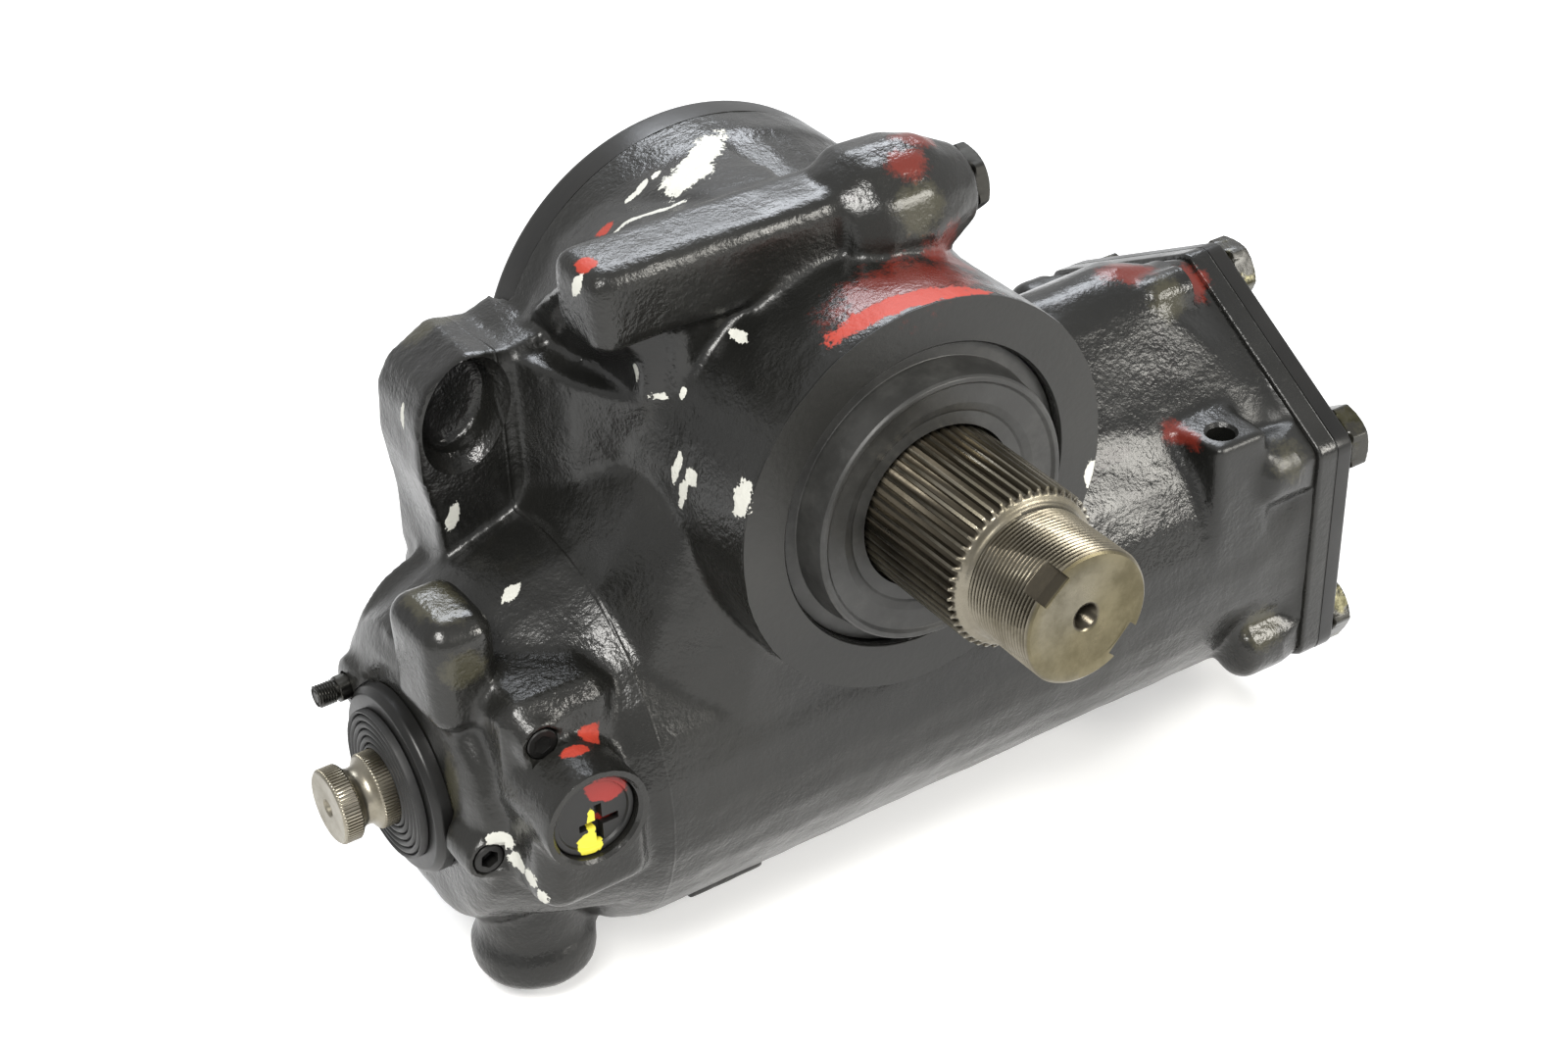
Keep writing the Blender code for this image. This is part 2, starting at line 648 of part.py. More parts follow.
def make_sector_shaft():
    """Sector shaft with its teeth, journals, splines and threaded end."""
    relief = 0.0016
    outline = [
        (SHAFT_END_Y, 0),
        (SHAFT_END_Y, THREAD_R - relief),
        (SHAFT_END_Y + relief, THREAD_R),
        (THREAD_START_Y - 0.0026, THREAD_R),
        (THREAD_START_Y - 0.0022, THREAD_R - relief),
        (THREAD_START_Y + 0.0010, THREAD_R - relief),
        (SPLINE_START_Y, THREAD_R - relief),
        (JOURNAL_START_Y - 0.0020, SPLINE_R - SPLINE_DEPTH),
        (JOURNAL_START_Y, JOURNAL_R),
        (SHAFT_FRONT_SHOULDER_Y, JOURNAL_R),
        (SHAFT_FRONT_SHOULDER_Y, SECTOR_HUB_R),
        (SECTOR_WIDTH / 2 + GAP, SECTOR_HUB_R),
        (SECTOR_WIDTH / 2 + GAP, REAR_JOURNAL_R),
        (SHAFT_REAR_Y - relief, REAR_JOURNAL_R),
        (SHAFT_REAR_Y, REAR_JOURNAL_R - relief),
        (SHAFT_REAR_Y, 0),
    ]
    shaft = turned("sector_shaft", outline, "Y", SECTOR_CENTRE)
    teeth = plate("sector_teeth", [sector_outline()], -SECTOR_WIDTH / 2, SECTOR_WIDTH / 2,
                  "Y", SECTOR_CENTRE)
    seat = splines("arm_splines", THREAD_START_Y, SPLINE_START_Y + 0.0020)
    socket_y = SHAFT_REAR_Y - ADJUSTER_HEAD_T - 0.0040
    socket = rod("adjuster_socket", socket_y, SHAFT_REAR_Y + 0.001, ADJUSTER_HEAD_R + SLIDE_GAP,
                 "Y", SECTOR_CENTRE)
    centre_hole = rod("centre_hole", SHAFT_END_Y - 0.001, SHAFT_END_Y + CENTRE_HOLE_DEPTH,
                      CENTRE_HOLE_R, "Y", SECTOR_CENTRE, BOLT_STEPS)
    join(shaft, teeth, seat)
    cut(shaft, socket, centre_hole)
    for number, angle in enumerate(NOTCH_ANGLES):
        notch = box(f"lock_notch_{number}", (THREAD_R - NOTCH_DEPTH, SHAFT_END_Y - 0.001, -NOTCH_WIDTH / 2),
                    (THREAD_R + 0.002, SHAFT_END_Y + NOTCH_LENGTH, NOTCH_WIDTH / 2))
        turn = Matrix.Translation(SECTOR_CENTRE) @ Matrix.Rotation(-angle, 4, "Y")
        notch.matrix_basis = turn @ notch.matrix_basis
        cut(shaft, notch)
    return finish(shaft, STEEL)


def make_front_end():
    """Bearing, seal, retaining ring and dust ring in the front boss."""
    start, end = SEAL_SEAT_Y + 0.0035, FRONT_BEARING_Y - 0.001
    finish(ring("sector_front_race", start, end, FRONT_RACE_IN_R, FRONT_BEARING_R - GAP,
                "Y", SECTOR_CENTRE), STEEL)
    finish(roller_ring("sector_front_rollers", start + 0.002, end - 0.002, ROLLER_IN_R,
                       FRONT_RACE_IN_R * ROUND_SHARE - GAP, "Y", SECTOR_CENTRE), DARK_STEEL)
    seal_y = SEAL_SEAT_Y - GAP
    seal_out = SEAL_BORE_R - GAP
    seal = [
        (seal_y - 0.0100, seal_out), (seal_y, seal_out), (seal_y, JOURNAL_R + 0.0030),
        (seal_y - 0.0030, SEAL_INNER_R), (seal_y - 0.0060, SEAL_INNER_R),
        (seal_y - 0.0080, JOURNAL_R + 0.0026), (seal_y - 0.0080, seal_out - 0.0045),
        (seal_y - 0.0100, seal_out - 0.0045),
    ]
    finish(turned("sector_shaft_seal", seal, "Y", SECTOR_CENTRE, ring=True), RUBBER)
    clip_y = seal_y - 0.0100 - GAP
    clip = ring("seal_retaining_ring", clip_y - CLIP_T, clip_y, SEAL_BORE_R - 0.0040,
                SEAL_BORE_R + CLIP_GROOVE - GAP, "Y", SECTOR_CENTRE)
    opening = box("clip_opening", (-0.006, clip_y - CLIP_T - 0.001, SECTOR_Z + SEAL_BORE_R - 0.008),
                  (0.006, clip_y + 0.001, SECTOR_Z + SEAL_BORE_R + 0.006))
    finish(cut(clip, opening), DARK_STEEL)
    back = clip_y - CLIP_T - GAP
    lip = SPLINE_R + 0.0010
    dust = [
        (DUST_RING_FACE_Y, DUST_RING_R - 0.0008), (DUST_RING_FACE_Y + 0.0007, DUST_RING_R),
        (BOSS_FACE_Y + 0.0030, DUST_RING_R + 0.0012), (BOSS_FACE_Y + 0.0036, SEAL_BORE_R - GAP),
        (back, SEAL_BORE_R - GAP), (back, SEAL_INNER_R), (JOURNAL_START_Y - 0.0030, SEAL_INNER_R),
        (JOURNAL_START_Y - 0.0034, lip), (DUST_RING_FACE_Y + 0.0027, lip),
        (DUST_RING_FACE_Y + 0.0027, DUST_RING_R - 0.0100),
        (DUST_RING_FACE_Y + 0.0008, DUST_RING_R - 0.0110), (DUST_RING_FACE_Y, DUST_RING_R - 0.0022),
    ]
    finish(turned("sector_dust_ring", dust, "Y", SECTOR_CENTRE, ring=True), RUBBER)


def make_side_cover():
    """Side cover with the rear bearing, seal, adjusting screw and bolts."""
    spigot_y = COVER_SPIGOT_Y
    plate_y = DRUM_FACE_Y + GAP
    outer_y = plate_y + SIDE_COVER_T
    spigot_r = CHAMBER_R - GAP
    outline = [
        (spigot_y, spigot_r - 0.001), (spigot_y + 0.001, spigot_r), (plate_y, spigot_r),
        (plate_y, DRUM_R), (outer_y - 0.003, DRUM_R), (outer_y, DRUM_R - 0.003),
        (outer_y, SIDE_COVER_HUB_R + 0.004), (outer_y + 0.004, SIDE_COVER_HUB_R),
        (SIDE_COVER_END_Y - 0.006, SIDE_COVER_HUB_R - 0.002),
        (SIDE_COVER_END_Y, SIDE_COVER_HUB_R - 0.010), (SIDE_COVER_END_Y, ADJUSTER_R + GAP),
        (COVER_HUB_BORE_END_Y, ADJUSTER_R + GAP), (COVER_HUB_BORE_END_Y, REAR_BEARING_R),
        (spigot_y, REAR_BEARING_R),
    ]
    cover = turned("side_cover", outline, "Y", SECTOR_CENTRE, BORE_STEPS, ring=True)
    groove_y = spigot_y + 0.006
    flat_z = CHAMBER_FLAT_Z + GAP
    groove = [flat_circle(spigot_r + out, flat_z - out) for out in (0.0020, -0.0030)]
    cut(cover, plate("side_seal_groove", groove, groove_y - GAP, groove_y + 0.0028, "Y", SECTOR_CENTRE))
    seal = [flat_circle(spigot_r + out, flat_z - out) for out in (-0.0001, -0.0027)]
    finish(plate("side_cover_seal", seal, groove_y, groove_y + 0.0025, "Y", SECTOR_CENTRE), RUBBER)
    reach = DRUM_R + 0.004
    cut(cover, box("spigot_flat", (-reach, spigot_y - 0.001, 0), (reach, plate_y, flat_z)),
        box("cover_flat", (-reach, DRUM_FACE_Y - 0.001, 0), (reach, SIDE_COVER_END_Y, COVER_FLAT_Z + GAP)))
    for number, (x, z) in enumerate(side_bolt_places()):
        centre = (x, 0, z)
        cut(cover, rod(f"side_bolt_hole_{number}", plate_y - 0.001, outer_y + 0.001,
                       SIDE_BOLT_R + GAP, "Y", centre, BOLT_STEPS))
        finish(hex_bolt(f"side_cover_bolt_{number + 1}", outer_y + GAP, 1, SIDE_BOLT_R,
                        SIDE_BOLT_LENGTH, SIDE_BOLT_HEAD_R, SIDE_BOLT_HEAD_H, "Y", centre), DARK_STEEL)
    finish(cover, PAINT)
    start, end = spigot_y + 0.001, SHAFT_REAR_Y - 0.003
    finish(ring("sector_rear_race", start, end, REAR_RACE_IN_R, REAR_BEARING_R - GAP,
                "Y", SECTOR_CENTRE), STEEL)
    finish(roller_ring("sector_rear_rollers", start + 0.002, end - 0.002,
                       REAR_JOURNAL_R + SLIDE_GAP, REAR_RACE_IN_R * ROUND_SHARE - GAP, "Y",
                       SECTOR_CENTRE), DARK_STEEL)
    head_y = SHAFT_REAR_Y - ADJUSTER_HEAD_T - 0.0036
    screw = [
        (head_y, 0), (head_y, ADJUSTER_HEAD_R), (head_y + ADJUSTER_HEAD_T, ADJUSTER_HEAD_R),
        (head_y + ADJUSTER_HEAD_T, ADJUSTER_R), (ADJUSTER_END_Y - 0.0012, ADJUSTER_R),
        (ADJUSTER_END_Y, ADJUSTER_R - 0.0012), (ADJUSTER_END_Y, 0),
    ]
    adjuster = turned("adjusting_screw", screw, "Y", SECTOR_CENTRE, STEPS)
    cut(adjuster, rod("adjuster_key", ADJUSTER_END_Y - 0.008, ADJUSTER_END_Y + 0.001, 0.0052, "Y",
                      SECTOR_CENTRE, 6))
    finish(adjuster, DARK_STEEL)
    nut_y = SIDE_COVER_END_Y + GAP
    nut = rod("adjuster_locknut", nut_y, nut_y + LOCKNUT_H, LOCKNUT_R, "Y", SECTOR_CENTRE, 6)
    cut(nut, rod("locknut_hole", nut_y - 0.001, nut_y + LOCKNUT_H + 0.001, ADJUSTER_R + GAP, "Y",
                 SECTOR_CENTRE))
    finish(nut, DARK_STEEL)


# Piston and ball screw

def make_piston():
    """Rack piston with its nut bore, ball race and return tube pocket."""
    start, end = PISTON_START_X, PISTON_END_X
    radius = BORE_R - SLIDE_GAP
    groove_end = end - PISTON_RING_INSET
    groove_start = groove_end - PISTON_RING_WIDTH
    outline = [
        (start, 0), (start, radius - 0.002), (start + 0.002, radius),
        (groove_start, radius), (groove_start, radius - PISTON_RING_DEPTH),
        (groove_end, radius - PISTON_RING_DEPTH), (groove_end, radius),
        (end - 0.003, radius), (end, radius - 0.003), (end, 0),
    ]
    piston = turned("piston", outline, steps=BORE_STEPS)
    nut_end = start + NUT_LENGTH
    cut(piston, rod("nut_bore", start - 0.001, nut_end + 0.001, NUT_BORE_R, steps=NUT_STEPS))
    cut(piston, rod("piston_hollow", nut_end, end - PISTON_END_WALL, PISTON_HOLLOW_R))
    rack_end = (SECTOR_TEETH_MADE // 2 + 0.5) * math.pi * SECTOR_MODULE + 0.004
    tip_z = RACK_PITCH_Z + ADDENDUM_SHARE * SECTOR_MODULE
    cut(piston, box("rack_top", (start - 0.001, -BORE_R, tip_z), (rack_end, BORE_R, BORE_R + 0.001)))
    side = SECTOR_TEETH_MADE // 2
    for number in range(-side, side + 1):
        cut(piston, plate(f"rack_gap_{number + side}", [rack_gap(number)], -BORE_R, BORE_R, "Y"))
    half = BALL_LOOP_HALF
    cut(piston, pipe("nut_race", helix(-half - 0.02, half + 0.02, BALL_CIRCLE_R), GROOVE_R, rounding=1))
    reach = LEAD * half
    for number, place_x in enumerate((-reach, reach)):
        cut(piston, rod(f"return_hole_{number}", -RETURN_POCKET_Z - 0.001, -BALL_CIRCLE_R,
                        RETURN_TUBE_R + SLIDE_GAP, "Z", (BALL_TRAIN_X + place_x, 0, 0), BAR_STEPS))
    room = reach + RETURN_TUBE_R + 0.0010
    cut(piston, box("return_pocket", (BALL_TRAIN_X - room, -0.0060, -BORE_R - 0.001),
                    (BALL_TRAIN_X + room, 0.0060, -RETURN_POCKET_Z)))
    finish(piston, STEEL)
    ring_start = groove_start + GAP
    finish(ring("piston_ring", ring_start, groove_end - GAP, radius - PISTON_RING_DEPTH + GAP,
                BORE_R - GAP, steps=BORE_STEPS), FLUOROPLASTIC)


def make_ball_train():
    """Balls of the loaded track, touching one another, and their return tube."""
    half = BALL_LOOP_HALF - 0.02
    balls = round(2 * half * BEADS_PER_TURN)
    stations = (0.12, 0.50, 0.88)
    points, radii = [], []
    for ball in range(balls):
        for share in stations:
            turn = -half + 2 * half * (ball + share) / balls
            angle = 2 * math.pi * turn - math.pi / 2
            points.append((BALL_TRAIN_X + LEAD * turn, BALL_CIRCLE_R * math.cos(angle),
                           BALL_CIRCLE_R * math.sin(angle)))
            radii.append(math.sqrt(1 - (2 * share - 1) ** 2))
    finish(pipe("ball_train", points, BALL_R, radii, 1), STEEL)
    reach = LEAD * BALL_LOOP_HALF
    bend = 0.0045
    low = -RETURN_POCKET_Z - RETURN_TUBE_R - 0.0012
    top = -BALL_CIRCLE_R - BALL_R - 0.0010
    path = [(-reach, top), (-reach, low + bend), (-reach + bend * 0.3, low + bend * 0.3),
            (-reach + bend, low), (reach - bend, low), (reach - bend * 0.3, low + bend * 0.3),
            (reach, low + bend), (reach, top)]
    finish(pipe("ball_return_tube", [(BALL_TRAIN_X + x, 0, z) for x, z in path], RETURN_TUBE_R), STEEL)


def make_worm():
    """Worm with its ball groove, head and torsion bar bore, and the torsion bar."""
    head_x = SLEEVE_END_X + GAP
    wall_x = VALVE_BORE_END_X - GAP
    outline = [
        (head_x, 0), (head_x, VALVE_BORE_R - 0.0008), (wall_x, VALVE_BORE_R - 0.0008),
        (wall_x, WORM_JOURNAL_R), (BORE_START_X + 0.001, WORM_JOURNAL_R),
        (BORE_START_X + 0.001, WORM_R), (WORM_END_X - 0.002, WORM_R),
        (WORM_END_X, WORM_R - 0.002), (WORM_END_X, 0),
    ]
    worm = turned("worm_shaft", outline)
    travel = PISTON_TRAVEL / LEAD + BALL_LOOP_HALF + 0.25
    cut(worm, pipe("worm_groove", helix(-travel, travel, BALL_CIRCLE_R), GROOVE_R, rounding=1))
    cut(worm, rod("worm_bar_bore", head_x - 0.001, TORSION_BAR_END_X + GAP, TORSION_BAR_R + GAP,
                  steps=BAR_STEPS))
    finish(worm, STEEL)
    finish(rod("torsion_bar", TORSION_BAR_START_X, TORSION_BAR_END_X, TORSION_BAR_R,
               steps=BAR_STEPS), STEEL)
    finish(roller_ring("worm_bearing", VALVE_BORE_END_X + GAP, BORE_START_X - GAP,
                       WORM_JOURNAL_R + GAP, WALL_HOLE_R - GAP), DARK_STEEL)


# Valve and input end

def make_valve():
    """Rotary valve sleeve with its seal rings and oil ports."""
    sleeve = ring("control_valve_sleeve", SLEEVE_START_X, SLEEVE_END_X, SLEEVE_BORE_R, SLEEVE_R)
    step = (SLEEVE_END_X - SLEEVE_START_X) / SLEEVE_GROOVES
    for number in range(SLEEVE_GROOVES):
        middle = SLEEVE_START_X + step * (number + 0.5)
        half = SLEEVE_RING_WIDTH / 2
        cut(sleeve, ring(f"sleeve_groove_{number}", middle - half - GAP, middle + half + GAP,
                         SLEEVE_R - SLEEVE_RING_DEPTH, SLEEVE_R + 0.002))
        finish(ring(f"sleeve_seal_ring_{number + 1}", middle - half, middle + half,
                    SLEEVE_R - SLEEVE_RING_DEPTH + GAP, SLEEVE_R), FLUOROPLASTIC)
    for number in range(2):
        middle = SLEEVE_START_X + step * (number + 1)
        for turn in range(2):
            port = rod(f"sleeve_port_{number}{turn}", -SLEEVE_R - 0.001, SLEEVE_R + 0.001,
                       SLEEVE_PORT_R, "Z",
                       steps=6)
            spin = Matrix.Rotation(math.radians(90 * turn + 45 * number + 4), 4, "X")
            port.matrix_basis = Matrix.Translation((middle, 0, 0)) @ spin
            cut(sleeve, port)
    finish(sleeve, STEEL)


def make_input_shaft():
    """Input shaft with two serrated bands, the clamp neck and the valve rotor."""
    edge = 0.0008
    band_end = INPUT_END_X + INPUT_BAND_WIDTH
    neck_end = band_end + INPUT_NECK_WIDTH
    rotor_x = SLEEVE_START_X + 0.0005
    rotor_end = SLEEVE_END_X - 0.0030
    outline = [
        (INPUT_END_X, 0), (INPUT_END_X, INPUT_R - edge), (INPUT_END_X + edge, INPUT_R),
        (band_end, INPUT_R), (band_end + 0.0012, INPUT_NECK_R), (neck_end - 0.0012, INPUT_NECK_R),
        (neck_end, INPUT_R), (rotor_x, INPUT_R), (rotor_x, ROTOR_R), (rotor_end, ROTOR_R),
        (rotor_end, INPUT_R - 0.001), (SLEEVE_END_X - GAP, INPUT_R - 0.001), (SLEEVE_END_X - GAP, 0),
    ]
    shaft = turned("input_shaft", outline)
    cut(shaft, rod("input_bar_bore", TORSION_BAR_START_X - GAP, SLEEVE_END_X + 0.001,
                   TORSION_BAR_R + SLIDE_GAP, steps=BAR_STEPS))
    cut(shaft, rod("input_centre_hole", INPUT_END_X - 0.001, INPUT_END_X + 0.008, 0.0030,
                   steps=BOLT_STEPS, end_radius=0.0016))
    for number in range(ROTOR_SLOTS):
        slot = box(f"rotor_slot_{number}", (rotor_x + 0.003, -0.0025, ROTOR_R - 0.0022),
                   (rotor_end - 0.003, 0.0025, ROTOR_R + 0.001))
        spin = Matrix.Rotation(2 * math.pi * number / ROTOR_SLOTS, 4, "X")
        slot.matrix_basis = spin @ slot.matrix_basis
        cut(shaft, slot)
    finish(shaft, STEEL)


def make_input_end():
    """Bearing cap, bearing, seal and folded dust boot round the input shaft."""
    outline = [
        (CAP_FACE_X, CAP_R - 0.0020), (CAP_FACE_X + 0.0020, CAP_R), (VALVE_FACE_X - GAP, CAP_R),
        (VALVE_FACE_X - GAP, CAP_THREAD_R), (CAP_END_X, CAP_THREAD_R), (CAP_END_X, ROTOR_R - 0.001),
        (CAP_END_X - 0.0025, ROTOR_R - 0.001), (CAP_END_X - 0.0025, CAP_BORE_R),
        (CAP_FACE_X, CAP_BORE_R),
    ]
    cap = turned("input_bearing_cap", outline, ring=True)
    for number in range(CAP_SLOTS):
        slot = box(f"cap_slot_{number}", (CAP_FACE_X - 0.001, -0.003, CAP_R - 0.0030),
                   (CAP_FACE_X + 0.0035, 0.003, CAP_R + 0.001))
        spin = Matrix.Rotation(2 * math.pi * (number + 0.5) / CAP_SLOTS, 4, "X")
        slot.matrix_basis = spin @ slot.matrix_basis
        cut(cap, slot)
    finish(cap, PAINT)
    seat = CAP_END_X - 0.0025 - GAP
    race_in = INPUT_R + 0.0050
    finish(ring("input_bearing_race", seat - 0.0110, seat, race_in, CAP_BORE_R - GAP), STEEL)
    finish(roller_ring("input_bearing_rollers", seat - 0.0095, seat - 0.0015, INPUT_R + GAP,
                       race_in - GAP), DARK_STEEL)
    seal_end = seat - 0.0110 - GAP
    seal_start = CAP_FACE_X + 0.0010
    seal = [
        (seal_start, CAP_BORE_R - GAP), (seal_end, CAP_BORE_R - GAP), (seal_end, CAP_BORE_R - 0.0028),
        (seal_start + 0.0024, CAP_BORE_R - 0.0028), (seal_start + 0.0030, INPUT_R + GAP),
        (seal_start, INPUT_R + GAP),
    ]
    finish(turned("input_shaft_seal", seal, ring=True), RUBBER)
    back = CAP_FACE_X - GAP
    fold = (BOOT_R - INPUT_R - 0.0014) / BOOT_FOLDS
    face = [(back, BOOT_R), (BOOT_FACE_X + 0.0018, BOOT_R)]
    for number in range(BOOT_FOLDS):
        outer = BOOT_R - fold * number
        face.append((BOOT_FACE_X, outer - fold * 0.30))
        face.append((BOOT_FACE_X, outer - fold * 0.70))
        if number < BOOT_FOLDS - 1:
            face.append((BOOT_FACE_X + 0.0016, outer - fold))
    face.append((BOOT_FACE_X + 0.0010, INPUT_R + SLIDE_GAP))
    face.append((back, INPUT_R + SLIDE_GAP))
    finish(turned("dust_boot", list(reversed(face)), ring=True), RUBBER)


# Covers, bolts and plugs

def corner_places():
    """Places in (Y, Z) of the bolts at the corners of the end cover."""
    return circle(COVER_BOLT_CIRCLE_R, COVER_BOLTS, HEX_PHASE)


def hexagon_ring(x, apothem, corner_r):
    """Rounded hexagon of points round the cylinder axis."""
    points = []
    for i in range(RING_STEPS):
        angle = 2 * math.pi * i / RING_STEPS + HEX_PHASE
        r = hexagon_r(angle, apothem, corner_r, HEX_PHASE)
        points.append((x, r * math.cos(angle), r * math.sin(angle)))
    return points


def make_end_cover():
    """Hexagonal end cover with its seal and six bolts."""
    face, outer = COVER_FACE_X, COVER_OUTER_X
    cover = loft("end_cover", [
        hexagon_ring(face, HEX_APOTHEM, HEX_CORNER_R),
        hexagon_ring(outer - 0.0015, HEX_APOTHEM, HEX_CORNER_R),
        hexagon_ring(outer, HEX_APOTHEM - 0.0015, HEX_CORNER_R - 0.0015),
    ])
    join(cover, rod("cover_spigot", face - COVER_SPIGOT, face + 0.001, BORE_R - GAP, steps=BORE_STEPS))
    for number, (y, z) in enumerate(corner_places()):
        centre = (0, y, z)
        cut(cover, rod(f"cover_bolt_hole_{number}", face - 0.001, outer + 0.001, COVER_BOLT_R + GAP,
                       centre=centre, steps=BOLT_STEPS))
        finish(hex_bolt(f"end_cover_bolt_{number + 1}", BOLT_HEAD_X, 1, COVER_BOLT_R, COVER_BOLT_LENGTH,
                        COVER_BOLT_HEAD_R, COVER_BOLT_HEAD_H, "X", centre), DARK_STEEL)
    finish(cover, PAINT)
    seal_in, seal_out = COVER_SEAL_R - COVER_SEAL_WIDTH / 2, COVER_SEAL_R + COVER_SEAL_WIDTH / 2
    finish(ring("end_cover_seal", FLANGE_X - COVER_SEAL_WIDTH, FLANGE_X, seal_in + GAP,
                seal_out - GAP, steps=BORE_STEPS), RUBBER)


def make_plugs():
    """Port plugs, bleed fitting, hexagon plug and socket plugs."""
    centre = (PORT_X, 0, PORT_Z)
    floor = PORT_FACE_Y + PORT_DEPTH
    plug = rod("pressure_port_plug", PORT_FACE_Y + PORT_PLUG_SINK, floor - GAP, PORT_R - GAP, "Y", centre)
    sink = PORT_FACE_Y + PORT_PLUG_SINK
    arms = [box(f"port_cross_{number}", (PORT_X - long, sink - 0.001, PORT_Z - tall),
                (PORT_X + long, sink + 0.0045, PORT_Z + tall))
            for number, (long, tall) in enumerate(((0.0080, 0.0016), (0.0016, 0.0080)))]
    cut(plug, *arms)
    finish(plug, PLASTIC)
    low = RETURN_FACE_Z
    seat = (RETURN_X, RETURN_Y, 0)
    plug = rod("return_port_plug", low - 0.0030, low + RETURN_DEPTH - GAP, RETURN_PORT_R - GAP,
               "Z", seat, STEPS)
    join(plug, rod("return_plug_rim", low - 0.0030, low - GAP, RETURN_PORT_R + 0.0015, "Z", seat, STEPS))
    finish(plug, PLASTIC)
    seat = (0, HEX_PLUG_Y, HEX_PLUG_Z)
    plug = rod("side_hex_plug", PLUG_BOSS_END_X + GAP, PLUG_BOSS_END_X + HEX_PLUG_H, HEX_PLUG_HEAD_R,
               centre=seat, steps=6)
    join(plug, rod("hex_plug_stem", PLUG_BOSS_END_X - HEX_PLUG_STEM, PLUG_BOSS_END_X + 0.002, HEX_PLUG_R,
                   centre=seat, steps=16))
    finish(plug, DARK_STEEL)
    seat = (0, BLEED_Y, BLEED_Z)
    outline = [
        (BLEED_END_X, 0), (BLEED_END_X, 0.0026), (BLEED_END_X + 0.0030, 0.0032),
        (BLEED_END_X + 0.0036, 0.0024), (BLEED_END_X + 0.0070, 0.0024), (BLEED_END_X + 0.0080, 0.0040),
        (BLEED_FACE_X - GAP, BLEED_COLLAR_R), (BLEED_FACE_X - GAP, BLEED_R),
        (BLEED_FACE_X + BLEED_DEPTH, BLEED_R), (BLEED_FACE_X + BLEED_DEPTH, 0),
    ]
    finish(turned("bleed_fitting", outline, centre=seat, steps=12), DARK_STEEL)
    for name, (x, z), face in SOCKET_PLUGS:
        seat = (x, 0, z)
        plug = rod(name, face + 0.0008, face + SOCKET_PLUG_DEPTH - GAP, SOCKET_PLUG_R - GAP, "Y", seat, 24)
        cut(plug, rod(f"{name}_key", face - 0.001, face + 0.0048, 0.0034, "Y", seat, 6))
        finish(plug, DARK_STEEL)


# Casting

def along(values, share):
    """Read a table of (position, value) pairs between its rows."""
    for (low, first), (high, last) in zip(values, values[1:]):
        if share <= high:
            return first + (last - first) * max(0, share - low) / (high - low)
    return values[-1][1]


def neck_ring(x):
    """Section of the neck: a ridge above the barrel that opens into the end flange."""
    crest = along(NECK_CORNER, x)
    flare = blend(NECK_STATIONS[-3], NECK_STATIONS[-1], x)
    points = []
    for i in range(RING_STEPS):
        angle = 2 * math.pi * i / RING_STEPS + HEX_PHASE
        off = (angle - HEX_PHASE + math.pi) % (2 * math.pi) - math.pi
        ridge = NECK_LOWER_R + (crest - NECK_LOWER_R) * math.exp(-(off / NECK_SPREAD) ** 2)
        rim = hexagon_r(angle, HEX_APOTHEM - 0.003, crest, HEX_PHASE)
        r = ridge + (rim - ridge) * flare
        points.append((x, r * math.cos(angle), r * math.sin(angle)))
    return points


def saddle_ring(y, left):
    """Section of the body between barrel and sector housing, wider on its left."""
    right = [(-x - 0.004, z) for x, z in reversed(left)]
    return [(x, y, z) for x, z in (*left, *right)]


